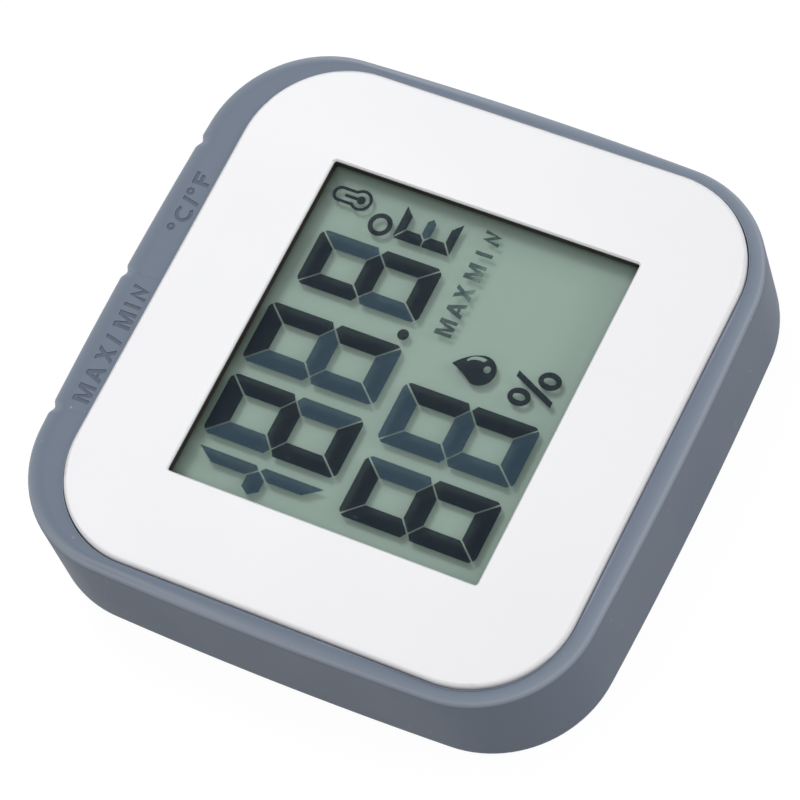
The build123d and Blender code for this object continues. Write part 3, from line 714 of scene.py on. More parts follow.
def arc(x: float, y: float, half_x: float, half_y: float, start: float, sweep: float,
        steps: int) -> list[Place]:
    """Returns points along part of an ellipse.

    Args:
        x: Its middle in X.
        y: Its middle in Y.
        half_x: Half of its width.
        half_y: Half of its height.
        start: Angle of the first point, in radians.
        sweep: Angle from the first point to the last.
        steps: Number of steps between them.
    """
    turns = [start + sweep * i / steps for i in range(steps + 1)]
    return [(x + half_x * math.cos(turn), y + half_y * math.sin(turn)) for turn in turns]


def ellipse(x: float, y: float, half_x: float, half_y: float, steps: int = 48) -> list[Place]:
    """Returns the points of an ellipse."""
    return arc(x, y, half_x, half_y, 0.0, 2 * math.pi, steps)[:-1]


def circle(x: float, y: float, radius: float, steps: int = 48) -> list[Place]:
    """Returns the points of a circle."""
    return ellipse(x, y, radius, radius, steps)


def rectangle(low: Sequence[float], high: Sequence[float], z: float) -> list[Point]:
    """Returns the corners of a flat rectangle at a height."""
    return [(low[0], low[1], z), (high[0], low[1], z), (high[0], high[1], z), (low[0], high[1], z)]


@dataclass(frozen=True)
class Letter:
    """One capital letter or stroke, drawn with bold strokes in a box of its own."""

    character: str
    left: float
    right: float
    low: float
    high: float
    stroke: float

    def loops(self) -> Loops:
        """Returns the letter's outline, and its hole where it has one."""
        wide, tall = self.right - self.left, self.high - self.low
        drawing = {"M": self.letter_m, "A": self.letter_a, "X": self.letter_x, "I": self.letter_i,
                   "N": self.letter_n, "C": self.letter_c, "F": self.letter_f, "/": self.slash}
        return [[(self.left + x, self.low + y) for x, y in loop]
                for loop in drawing[self.character](wide, tall, self.stroke)]

    def letter_i(self, wide: float, tall: float, stroke: float) -> Loops:
        """Returns one upright stroke."""
        return [[(0, 0), (wide, 0), (wide, tall), (0, tall)]]

    def slash(self, wide: float, tall: float, stroke: float) -> Loops:
        """Returns one leaning stroke."""
        return [[(0, 0), (stroke, 0), (wide, tall), (wide - stroke, tall)]]

    def letter_m(self, wide: float, tall: float, stroke: float) -> Loops:
        """Returns two stems with a notch between them that reaches down to the line."""
        middle, tip, shoulder, armpit, notch = (wide / 2, stroke * 0.45, stroke * 1.35, stroke * 1.3,
                                                stroke * 1.5)
        right = [(wide - stroke, tall - armpit), (wide - stroke, 0), (wide, 0), (wide, tall),
                 (wide - shoulder, tall)]
        left = [(wide - x, y) for x, y in reversed(right)]
        return [[*left, (middle - tip, 0), (middle + tip, 0), *right, (middle, notch)]]

    def letter_n(self, wide: float, tall: float, stroke: float) -> Loops:
        """Returns two stems and the stroke that joins them."""
        drop = stroke * 1.75
        half = [(0, 0), (stroke, 0), (stroke, tall - drop), (wide - stroke, 0)]
        return [[*half, *((wide - x, tall - y) for x, y in half)]]

    def letter_a(self, wide: float, tall: float, stroke: float) -> Loops:
        """Returns two legs, their bar, and the hole above it."""
        foot, tip, middle = stroke * 1.12, stroke * 0.58, wide / 2
        bar_low = tall * 0.22
        bar_high = bar_low + stroke * 0.8
        slope = (middle - tip) / tall
        left = [(0, 0), (foot, 0), (foot + bar_low * slope, bar_low)]
        right = [(wide - x, y) for x, y in reversed(left)]
        inner = foot + bar_high * slope
        hole = [(inner, bar_high), (wide - inner, bar_high), (middle, (middle - foot) / slope)]
        return [[*left, *right, (middle + tip, tall), (middle - tip, tall)], hole]

    def letter_x(self, wide: float, tall: float, stroke: float) -> Loops:
        """Returns two crossing strokes."""
        foot = stroke * 1.25
        notch = (wide / 2 - foot) * tall / (wide - foot)
        lower = [(0, 0), (foot, 0), (wide / 2, notch), (wide - foot, 0), (wide, 0)]
        upper = [(x, tall - y) for x, y in reversed(lower)]
        return [[*lower, ((wide + foot) / 2, tall / 2), *upper, ((wide - foot) / 2, tall / 2)]]

    def letter_f(self, wide: float, tall: float, stroke: float) -> Loops:
        """Returns a stem with a long and a short bar."""
        bar, reach = tall * 0.42, wide * 0.85
        return [[(0, 0), (stroke, 0), (stroke, bar), (reach, bar), (reach, bar + stroke),
                 (stroke, bar + stroke), (stroke, tall - stroke), (wide, tall - stroke), (wide, tall),
                 (0, tall)]]

    def letter_c(self, wide: float, tall: float, stroke: float) -> Loops:
        """Returns an open ring."""
        opening, steps = math.radians(48), 28
        half_x, half_y = wide / (1 + math.cos(opening)), tall / 2
        outer, inner = (arc(half_x, half_y, half_x - inset, half_y - inset, opening,
                            2 * (math.pi - opening), steps) for inset in (0.0, stroke))
        return [outer + inner[::-1]]


class Side(Enum):
    """Which of the two keys a pad is, by the sign of its place in X."""

    MAX_MIN = -1
    UNIT = 1


@dataclass
class Sleeve:
    """Grey silicone sleeve with its bay and the two key pads that fill it."""

    palette: Palette
    outer: Outline = field(default_factory=lambda: Outline(30.2, 30.35, 12.1, crown=0.9))
    inner: Outline = field(default_factory=lambda: Outline(28.42, 27.09, 10.38, -1.25))
    lip: Outline = field(default_factory=lambda: Outline(26.4, 25.07, 8.36, -1.25))
    front: float = 13.05
    lip_fall: float = 0.45
    lip_reach: float = 1.75
    edge_radius: float = 0.8
    rear_radius: float = 1.5
    inner_radius: float = 0.12
    lip_shares: tuple[float, ...] = (0.12, 0.25, 0.4, 0.5, 0.6, 0.68, 0.76, 0.84, 0.9, 0.95)
    lip_height: float = 1.2
    bay_half: float = 15.8
    bay_floor: float = 2.4
    pad_foot_gap: float = 0.3
    pad_gap: float = 0.01
    pad_wall: float = 1.6
    pad_lip: float = 1.3
    groove_half: float = 0.85
    groove_depth: float = 0.34
    groove_fade: float = 1.2
    groove_steps: int = 8
    reach_half: float = 18.0
    station_step: float = 0.9
    station_gap: float = 0.3
    rim_steps: int = 9
    wall_levels: tuple[float, ...] = (3.0, 5.0, 7.0)
    fade_shares: tuple[float, ...] = (1.0, 0.75, 0.5)
    nib_radius: float = 1.1
    nib_round: float = 0.4
    nib_sides: int = 32
    nib_steps: int = 4
    nib_length: float = 4.68
    nib_z: float = 6.85
    legend_depth: float = 0.08
    legend_low: float = 26.3
    legend_high: float = 28.15
    legend_stroke: float = 0.4
    legends: dict[Side, tuple] = field(default_factory=lambda: {
        Side.MAX_MIN: (("M", -14.63, -12.7), ("A", -12.28, -10.55), ("X", -9.95, -8.35),
                       ("/", -7.8, -7.0), ("M", -6.05, -4.2), ("I", -3.66, -3.29), ("N", -2.75, -1.15)),
        Side.UNIT: (("C", 6.57, 8.24), ("/", 8.62, 9.42), ("F", 10.95, 12.32)),
    })
    degree_marks: tuple[Place, ...] = ((5.8, 27.78), (10.02, 27.75))
    degree_outer: float = 0.43
    degree_inner: float = 0.13

    @property
    def groove_centres(self) -> Point:
        """Where the finger grooves lie in X: at both ends of the bay and in its middle."""
        return -self.bay_half, 0.0, self.bay_half

    def groove(self, x: float, z: float) -> float:
        """Returns how deep the finger grooves are at a place on the top side."""
        near = min(abs(x - centre) for centre in self.groove_centres)
        dip = math.cos(math.pi / 2 * min(near / self.groove_half, 1.0)) ** 2
        return self.groove_depth * dip * smoothstep((z - self.bay_floor) / self.groove_fade)

    def stations(self, left: float, right: float) -> list[float]:
        """Returns places along the top side from right to left, close together in the grooves."""
        steps = self.groove_steps
        fine = [centre + self.groove_half * step / steps for centre in self.groove_centres
                for step in range(-steps, steps + 1)]
        count = round(2 * self.reach_half / self.station_step) + 1
        coarse = [-self.reach_half + self.station_step * step for step in range(count)]
        coarse = [x for x in coarse if all(abs(x - y) > self.station_gap for y in fine)]
        inside = [x for x in fine + coarse if left + 2 * self.pad_gap < x < right - 2 * self.pad_gap]
        return sorted([left, right, *inside], reverse=True)

    def upper_lines(self, floor: float) -> list[Line]:
        """Returns the lines from the edge beside the panel over the front and down to a floor."""
        edge = [Line(self.inner, -self.inner_radius * (1 - math.cos(a)),
                     self.front - self.inner_radius * (1 - math.sin(a)))
                for a in (0.0, math.pi / 6, math.pi / 3, math.pi / 2)]
        tilt = math.atan(2 * self.lip_fall / self.lip_reach)
        turns = [tilt + (math.pi / 2 - tilt) * i / self.rim_steps for i in range(self.rim_steps + 1)]
        top = self.front - self.lip_fall
        rim = [(self.edge_radius * (1 - math.sin(a)),
                top - self.edge_radius * (math.cos(tilt) - math.cos(a))) for a in turns]
        lip = [Line(self.outer, rim[0][0], self.front, True, share) for share in self.lip_shares]
        guard = [(0.0, rim[-1][1] - self.inner_radius)]
        levels = [self.front - step for step in self.wall_levels]
        fading = [self.bay_floor + self.groove_fade * share for share in self.fade_shares]
        wall = [(0.0, z) for z in [*levels, *fading] if z > floor + self.inner_radius]
        outside = [*rim, *guard, *wall, (0.0, floor)]
        return [*edge, *lip, *(Line(self.outer, inset, z, True) for inset, z in outside)]

    def trace(self, line: Line, near: Place, far: Place, grooves: bool) -> Point:
        """Places one point of a line.

        Args:
            line: The line.
            near: The point abreast of it on the lip's inner edge.
            far: The point abreast of it on the line's own outline.
            grooves: Whether the point lies on the side with the finger grooves.
        """
        (x, y), z, closeness = far, line.z, 1.0
        if line.share is not None:
            closeness = max(0.0, 1 - (1 - line.share) * math.dist(near, far) / self.lip_reach)
            x, y = (a + (b - a) * line.share for a, b in zip(near, far))
            z = self.front - self.lip_fall * closeness ** 2
        depth = self.groove(x, z) * smoothstep(closeness) if grooves and line.grooved else 0.0
        return x, y - depth, z

    def ring(self, line: Line, stations: Sequence[float]) -> list[Point]:
        """Returns the points of a line all the way round."""
        first = line.outline.arc_steps + 1
        pairs = zip(self.inner.ring(0.0, stations), line.outline.ring(line.inset, stations))
        return [self.trace(line, near, far, first <= i < first + len(stations))
                for i, (near, far) in enumerate(pairs)]

    def build_sleeve(self) -> None:
        """Builds the ring with its bay: the lines are joined round, apart from the bay's opening."""
        stations = [*self.stations(self.bay_half, self.reach_half),
                    *self.stations(-self.bay_half, self.bay_half)[1:-1],
                    *self.stations(-self.reach_half, -self.bay_half)]
        upper = [Line(self.inner, 0.0, self.bay_floor), *self.upper_lines(self.bay_floor)]
        lower = [*lower_edge(self.outer, self.rear_radius), Line(self.lip, 0.0, 0.0),
                 Line(self.lip, 0.0, self.lip_height), Line(self.inner, 0.0, self.lip_height)]
        draft = Draft()
        rows = [draft.row(self.ring(line, stations)) for line in [*upper, *lower]]
        first = self.outer.arc_steps + 1
        right = first + stations.index(self.bay_half)
        left = first + stations.index(-self.bay_half)
        top = len(upper) - 1
        for i, row in enumerate(rows):
            opening = i < top
            draft.bridge(row, rows[(i + 1) % len(rows)],
                         keep=lambda n, opening=opening: not (opening and right <= n < left))
        draft.bridge(rows[0][right:left + 1], rows[top][right:left + 1], closed=False)
        draft.faces += [[rows[i][end] for i in range(top + 1)] for end in (right, left)]
        piece = draft.build("silicone_sleeve", [self.palette.get("grey_silicone")])
        settle(piece, "housing", "grey_silicone", "sleeve")

    def build_pad(self, side: Side) -> bpy.types.Object:
        """Builds one hollow pad from its section, drawn at each station and closed at both ends."""
        ends = sorted((side.value * self.pad_gap / 2, side.value * (self.bay_half - self.pad_gap / 2)))
        floor = self.bay_floor + self.pad_foot_gap
        lines = self.upper_lines(floor)
        back = self.outer.half_y - self.pad_wall
        under = self.front - self.pad_lip
        fold = self.inner.centre_y + self.inner.half_y
        draft = Draft()
        rows = []
        for x in self.stations(*ends):
            tops = [line.outline.centre_y + line.outline.upper_side(x, line.inset) for line in lines]
            section = [self.trace(line, (x, fold), (x, top), True) for line, top in zip(lines, tops)]
            rows.append(draft.row([*section, (x, back, floor), (x, back, under), (x, fold, under)]))
        for row, following in zip(rows, rows[1:]):
            draft.bridge(row, following)
        draft.faces += [rows[0], rows[-1]]
        self.add_nib(draft, side.value * self.bay_half / 2, back)
        return draft.build("pad", [self.palette.get("grey_silicone")])

    def add_nib(self, draft: Draft, x: float, back: float) -> None:
        """Adds the round nib behind a pad, rooted in its wall and rounded at its tip."""
        tip, end = self.nib_round, back - self.nib_length
        profile = [(self.nib_radius, back + self.pad_wall / 4), (self.nib_radius, end + tip)]
        turns = [math.pi / 2 * step / self.nib_steps for step in range(1, self.nib_steps + 1)]
        profile += [(self.nib_radius - tip * (1 - math.cos(a)), end + tip * (1 - math.sin(a)))
                    for a in turns]
        rings = [draft.row([(around, y, height) for around, height in
                            circle(x, self.nib_z, radius, self.nib_sides)]) for radius, y in profile]
        for low, high in zip(rings, rings[1:]):
            draft.bridge(low, high)
        draft.faces += [rings[0], rings[-1]]

    def legend_cutter(self, side: Side) -> bpy.types.Object:
        """Builds the solid that is cut from a pad to sink its legend."""
        low, high = self.front - self.legend_depth, self.front + self.pad_lip
        box = self.legend_low, self.legend_high, self.legend_stroke
        shapes = [Letter(*letter, *box).loops() for letter in self.legends[side]]
        if side is Side.UNIT:
            shapes += [[circle(x, y, radius, 24) for radius in (self.degree_outer, self.degree_inner)]
                       for x, y in self.degree_marks]
        draft = Draft()
        for loops in shapes:
            draft.prism(loops, low, high)
        # The cutter's finish passes to the sunk faces and paints shade into the legends.
        return draft.build("cutter", [self.palette.get("silicone_with_painted_recess_shade")])

    def build_keys(self) -> None:
        """Builds both pads and sinks their legends."""
        for side, body in ((Side.MAX_MIN, "max_min_key"), (Side.UNIT, "unit_key")):
            pad = self.build_pad(side)
            cutter = self.legend_cutter(side)
            cut = pad.modifiers.new("legend", "BOOLEAN")
            cut.operation = "DIFFERENCE"
            cut.solver = "EXACT"
            cut.material_mode = "TRANSFER"
            cut.object = cutter
            mesh = baked(pad)
            bpy.data.objects.remove(cutter)
            # The second finish is the painted shade in the sunk legends.
            materials = [self.palette.get("grey_silicone"), self.palette.get("silicone_with_painted_recess_shade")]
            settle(link(f"{body}_pad", mesh, materials), body, "grey_silicone", body)

    def build(self) -> None:
        """Builds the sleeve and its keys."""
        self.build_sleeve()
        self.build_keys()


def shrink(points: Sequence[Place], distance: float) -> list[Place]:
    """Moves every side of a convex outline inwards.

    Args:
        points: The outline's corners, counter-clockwise.
        distance: How far each side moves.

    Returns:
        The smaller outline's corners.
    """
    corners = [Vector(point) for point in points]
    count = len(corners)
    sides = []
    for i in range(count):
        along = (corners[(i + 1) % count] - corners[i]).normalized()
        sides.append((corners[i] + Vector((-along.y, along.x)) * distance, along))
    result = []
    for i in range(count):
        start, along = sides[i - 1]
        other, across = sides[i]
        step = (other - start).cross(across) / along.cross(across)
        result.append(tuple(start + along * step))
    return result


def clip(points: Sequence[Place], mould: Sequence[Place]) -> list[Place]:
    """Returns the part of a convex outline that lies inside a convex mould, both counter-clockwise."""
    kept = list(points)
    for i, start in enumerate(mould):
        end = mould[(i + 1) % len(mould)]
        edge = Vector(end) - Vector(start)
        before, kept = kept, []
        for j, point in enumerate(before):
            last = before[j - 1]
            here, there = (edge.cross(Vector(p) - Vector(start)) for p in (point, last))
            if (here >= 0) != (there >= 0):
                share = there / (there - here)
                kept.append(tuple(a + (b - a) * share for a, b in zip(last, point)))
            if here >= 0:
                kept.append(point)
    return kept


class Tone(Enum):
    """How dark a driven shape of the display looks."""

    DARK = "segment_dark"
    BLUE = "segment_blue"


@dataclass(frozen=True)
class Digit:
    """Place, size and tones of one seven-segment digit, from its lower left corner."""

    left: float
    bottom: float
    width: float
    height: float
    bar: float
    stroke: float
    dark: str


@dataclass
class Display:
    """Liquid crystal display: its driven shapes, icons and captions, from the window's centre."""

    palette: Palette
    centre_y: float = -1.25
    level: float = 11.85
    thickness: float = 0.03
    gap: float = 0.17
    waist: float = 0.68
    notch: float = 0.46
    corner_radius: float = 1.15
    digits: tuple[Digit, ...] = (
        Digit(-12.7, 1.43, 6.95, 14.82, 2.3, 2.0, "abdeg"),
        Digit(-4.38, 1.43, 6.95, 14.82, 2.3, 2.0, "abc"),
        Digit(5.1, 1.5, 6.4, 13.6, 2.15, 1.8, "acdfg"),
        Digit(-15.85, -15.0, 6.9, 14.8, 2.3, 2.0, "acdefg"),
        Digit(-7.5, -15.0, 6.9, 14.8, 2.3, 2.0, "bc"),
    )
    hundred: tuple[float, float, float, float] = (-15.35, 1.7, -13.9, 15.85)
    hundred_waist: float = 0.5
    hundred_slope: float = 2.1
    minus: tuple[float, float, float, float] = (-17.17, 7.8, -14.42, 9.84)
    minus_corners: tuple[float, float] = (0.64, 0.78)
    point: tuple[float, float, float] = (3.7, 2.25, 0.58)
    degree: tuple[float, float, float, float] = (13.78, 9.83, 1.25, 0.75)
    unit: tuple[float, float, float, float] = (12.87, 1.8, 16.8, 8.17)
    unit_stroke: float = 1.37
    unit_bar: float = 1.1
    backing_gap: float = 0.02
    cell_sharp: float = 20.0
    caption_low: float = -2.28
    caption_high: float = -0.46
    caption_stroke: float = 0.38
    caption: tuple[tuple[str, float, float], ...] = (
        ("M", 4.95, 6.72), ("A", 7.1, 8.82), ("X", 9.12, 10.6), ("M", 11.42, 13.15), ("I", 14.15, 14.55),
        ("N", 15.52, 16.95))
    bulb: tuple[float, float, float, float] = (15.55, 12.83, 1.17, 0.45)
    tube_half: float = 0.7
    tube_top: float = 15.95
    icon_stroke: float = 0.31
    stem_half: float = 0.155
    stem_top: float = 14.6
    bulb_steps: int = 40
    cap_steps: int = 20
    stem_steps: int = 32
    drop: tuple[float, float, float] = (2.87, -6.55, 1.6)
    drop_tip: Place = (2.65, -3.6)
    drop_turns: Place = (0.92, 1.16)
    drop_pulls: tuple[Place, Place] = ((1.25, 1.75), (-0.75, 1.5))
    belly_steps: int = 40
    drop_steps: int = 14
    glint_steps: int = 12
    glint: tuple[tuple[float, ...], ...] = ((0.35, 0.35, 1.0, 1.45, 0.44, -0.56),
                                            (0.33, 0.4, 0.62, 1.2, -0.1, 0.5))
    bead: tuple[float, float, float] = (0.3, -0.6, 0.38)
    percent_rings: tuple[Place, ...] = ((1.67, -11.3), (4.2, -13.4))
    percent_halves: tuple[Place, Place] = ((0.95, 1.17), (0.36, 0.66))
    percent_bar: tuple[Place, ...] = ((1.62, -14.6), (2.25, -14.6), (4.25, -10.1), (3.6, -10.1))

    def segment_outlines(self, digit: Digit) -> dict[str, list[Place]]:
        """Returns the outline of each segment of a digit, by its letter."""
        left, bottom = digit.left, digit.bottom
        right, top, middle = left + digit.width, bottom + digit.height, bottom + digit.height / 2
        inner_l, inner_r = left + digit.stroke, right - digit.stroke
        high, low, notch = top - digit.bar, bottom + digit.bar, self.notch
        above, below = middle + digit.bar / 2, middle - digit.bar / 2
        waist_left, waist_right = (left + self.waist, middle), (right - self.waist, middle)
        outlines = {
            "a": [(left, top), (inner_l, high), (inner_r, high), (right, top)],
            "b": [(right, top), (inner_r, high), (inner_r, above), waist_right,
                  (right, middle + notch)],
            "c": [(right, middle - notch), waist_right, (inner_r, below), (inner_r, low),
                  (right, bottom)],
            "d": [(left, bottom), (right, bottom), (inner_r, low), (inner_l, low)],
            "e": [(left, bottom), (inner_l, low), (inner_l, below), waist_left,
                  (left, middle - notch)],
            "f": [(left, middle + notch), waist_left, (inner_l, above), (inner_l, high),
                  (left, top)],
            "g": [waist_left, (inner_l, below), (inner_r, below), waist_right, (inner_r, above),
                  (inner_l, above)],
        }
        mould = Outline(digit.width / 2, digit.height / 2, self.corner_radius, arc_steps=6).ring(0.0, [])
        mould = [(x + left + digit.width / 2, y + middle) for x, y in mould]
        return {key: clip(shrink(points, self.gap / 2), mould) for key, points in outlines.items()}

    def plain_outlines(self) -> list[tuple[Tone, Loops]]:
        """Returns the shapes beside the digits: the one, the minus, the point, the ring and the unit."""
        left, bottom, right, top = self.hundred
        minus_l, minus_b, minus_r, minus_t = self.minus
        middle, waist = (minus_b + minus_t) / 2, right - self.hundred_waist
        rise = (waist - left) * (minus_t - minus_b) / 2 / self.minus_corners[1]
        upper = [(waist, middle), (right, middle + self.notch), (right, top),
                 (left, top - self.hundred_slope), (left, middle + rise)]
        lower = [(waist, middle), (left, middle - rise), (left, bottom + self.hundred_slope),
                 (right, bottom), (right, middle - self.notch)]
        corner_l, corner_r = minus_l + self.minus_corners[0], minus_r - self.minus_corners[1]
        lozenge = [(minus_l, middle), (corner_l, minus_b), (corner_r, minus_b), (minus_r, middle),
                   (corner_r, minus_t), (corner_l, minus_t)]
        u_left, u_low, u_right, u_top = self.unit
        bar, stem = self.unit_bar, u_left + self.unit_stroke
        half, waist = bar / 2, (u_low + u_top) / 2
        fork, tip_x = stem - half, u_right - bar
        dark = [
            [(u_left, waist), (fork, waist), (stem, waist + half), (stem, u_top - bar), (u_left, u_top)],
            [(u_left, u_low), (stem, u_low + bar), (stem, waist - half), (fork, waist), (u_left, waist)],
            [(u_left, u_top), (stem, u_top - bar), (tip_x, u_top - bar), (u_right, u_top)],
            [(u_left, u_low), (u_right, u_low), (tip_x, u_low + bar), (stem, u_low + bar)],
        ]
        blue = [upper, lower, lozenge,
                [(fork, waist), (stem, waist - half), (tip_x, waist - half), (tip_x + half, waist),
                 (tip_x, waist + half), (stem, waist + half)]]
        x, y, radius = self.point
        ring_x, ring_y, outer, inner = self.degree
        shapes = [(Tone.DARK, [shrink(points, self.gap / 2)]) for points in dark]
        shapes += [(Tone.BLUE, [shrink(points, self.gap / 2)]) for points in blue]
        shapes.append((Tone.DARK, [circle(x, y, radius)]))
        shapes.append((Tone.DARK, [circle(ring_x, ring_y, outer), circle(ring_x, ring_y, inner)]))
        return shapes

    def draw(self, draft: Draft, loops: Sequence[Sequence[Place]]) -> None:
        """Adds one flat shape to a draft, set in the display's plane."""
        placed = [[(x, y + self.centre_y) for x, y in loop] for loop in loops]
        draft.prism(placed, self.level, self.level + self.thickness)

    def build_segments(self) -> None:
        """Builds the driven shapes, one piece for each tone."""
        drafts = {tone: Draft() for tone in Tone}
        for digit in self.digits:
            for key, outline in self.segment_outlines(digit).items():
                self.draw(drafts[Tone.DARK if key in digit.dark else Tone.BLUE], [outline])
        for tone, loops in self.plain_outlines():
            self.draw(drafts[tone], loops)
        for tone, draft in drafts.items():
            piece = draft.build(f"{tone.value}s", [self.palette.get(tone.value)])
            settle(piece, "housing", "display_ink", "lcd_segments")

    def thermometer(self, offset: float) -> list[Place]:
        """Returns the thermometer's outline, its line moved outwards by an offset."""
        x, y, radius, _ = self.bulb
        radius, half = radius - self.icon_stroke / 2 + offset, self.tube_half + offset
        top = self.tube_top - self.tube_half - self.icon_stroke / 2
        cap = arc(x, top, half, half, 0.0, math.pi, self.cap_steps)
        return self.open_bulb(x, y, radius, half, self.bulb_steps) + cap

    def open_bulb(self, x: float, y: float, radius: float, half: float, steps: int) -> list[Place]:
        """Returns a circle that is open at its top by twice a half width."""
        neck = math.asin(half / radius)
        return arc(x, y, radius, radius, math.pi / 2 + neck, 2 * (math.pi - neck), steps)

    def drop_outline(self) -> list[Place]:
        """Returns the drop: a round belly whose sides draw in to a bent tip."""
        x, y, radius = self.drop
        start, sweep = (math.pi * turn for turn in self.drop_turns)
        belly = arc(x, y, radius, radius, start, sweep, self.belly_steps)
        ends = [belly[-1], self.drop_tip, belly[0]]
        sides = []
        for first, last, (pull_x, pull_y) in zip(ends, ends[1:], self.drop_pulls):
            for i in range(1, self.drop_steps + 1):
                t = i / self.drop_steps
                sides.append(tuple((1 - t) ** 2 * a + 2 * t * (1 - t) * b + t * t * c
                                   for a, b, c in zip(first, (x + pull_x, y + pull_y), last)))
        return belly + sides[:-1]

    def build_icons(self) -> None:
        """Builds the thermometer, the drop and the percent sign."""
        draft = Draft()
        half = self.icon_stroke / 2
        self.draw(draft, [self.thermometer(half), self.thermometer(-half)])
        x, y, _, core = self.bulb
        stem = self.open_bulb(x, y, core, self.stem_half, self.stem_steps)
        stem += [(x + side * self.stem_half, self.stem_top) for side in (1, -1)]
        self.draw(draft, [stem])
        x, y, _ = self.drop
        glint: list[Place] = []
        for right, up, half_x, half_y, *turns in self.glint:
            start, sweep = (math.pi * turn for turn in turns)
            glint += arc(x + right, y + up, half_x, half_y, start, sweep, self.glint_steps)
        right, up, radius = self.bead
        self.draw(draft, [self.drop_outline(), glint[::-1], circle(x + right, y + up, radius, 32)])
        for place in self.percent_rings:
            self.draw(draft, [ellipse(*place, *halves) for halves in self.percent_halves])
        self.draw(draft, [self.percent_bar])
        piece = draft.build("display_icons", [self.palette.get("icon_ink")])
        settle(piece, "housing", "display_ink")

    def build_caption(self) -> None:
        """Builds the two words of the caption, letter by letter."""
        draft = Draft()
        box = self.caption_low, self.caption_high, self.caption_stroke
        for letter in self.caption:
            self.draw(draft, Letter(*letter, *box).loops())
        piece = draft.build("display_caption", [self.palette.get("caption_ink")])
        settle(piece, "housing", "display_ink")

    def build_cell(self) -> None:
        """Builds the glass cell as one stepped block, with its film in front and its backing behind."""
        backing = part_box("lcd_reflector")[1].z / MM + self.backing_gap
        draft = Draft()
        rows = []
        for node in ("lcd_rear_glass", "lcd_front_glass", "lcd_polariser"):
            low, high = (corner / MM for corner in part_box(node))
            rows += [draft.row(rectangle(low, high, z)) for z in (max(low.z, backing), high.z)]
        draft.faces.append(rows[0])
        draft.paint(1)
        for low_row, high_row in zip(rows, rows[1:]):
            draft.bridge(low_row, high_row)
        draft.paint(2)
        draft.faces.append(rows[-1])
        finishes = ("display_reflector", "display_glass", "display_film")
        materials = [self.palette.get(name) for name in finishes]
        piece = draft.build("display_cell", materials, self.cell_sharp)
        settle(piece, "housing", "display_glass", "lcd_polariser", "lcd_front_glass", "lcd_rear_glass")

    def build(self) -> None:
        """Builds all that the display shows."""
        self.build_segments()
        self.build_icons()
        self.build_caption()
        self.build_cell()


@dataclass(frozen=True)
class ScrewSet:
    """Sizes of one set of four screws that stand at the corners of a rectangle."""

    name: str
    node: str
    head_radius: float
    head_height: float
    shank_radius: float
    slot_width: float
    slot_depth: float


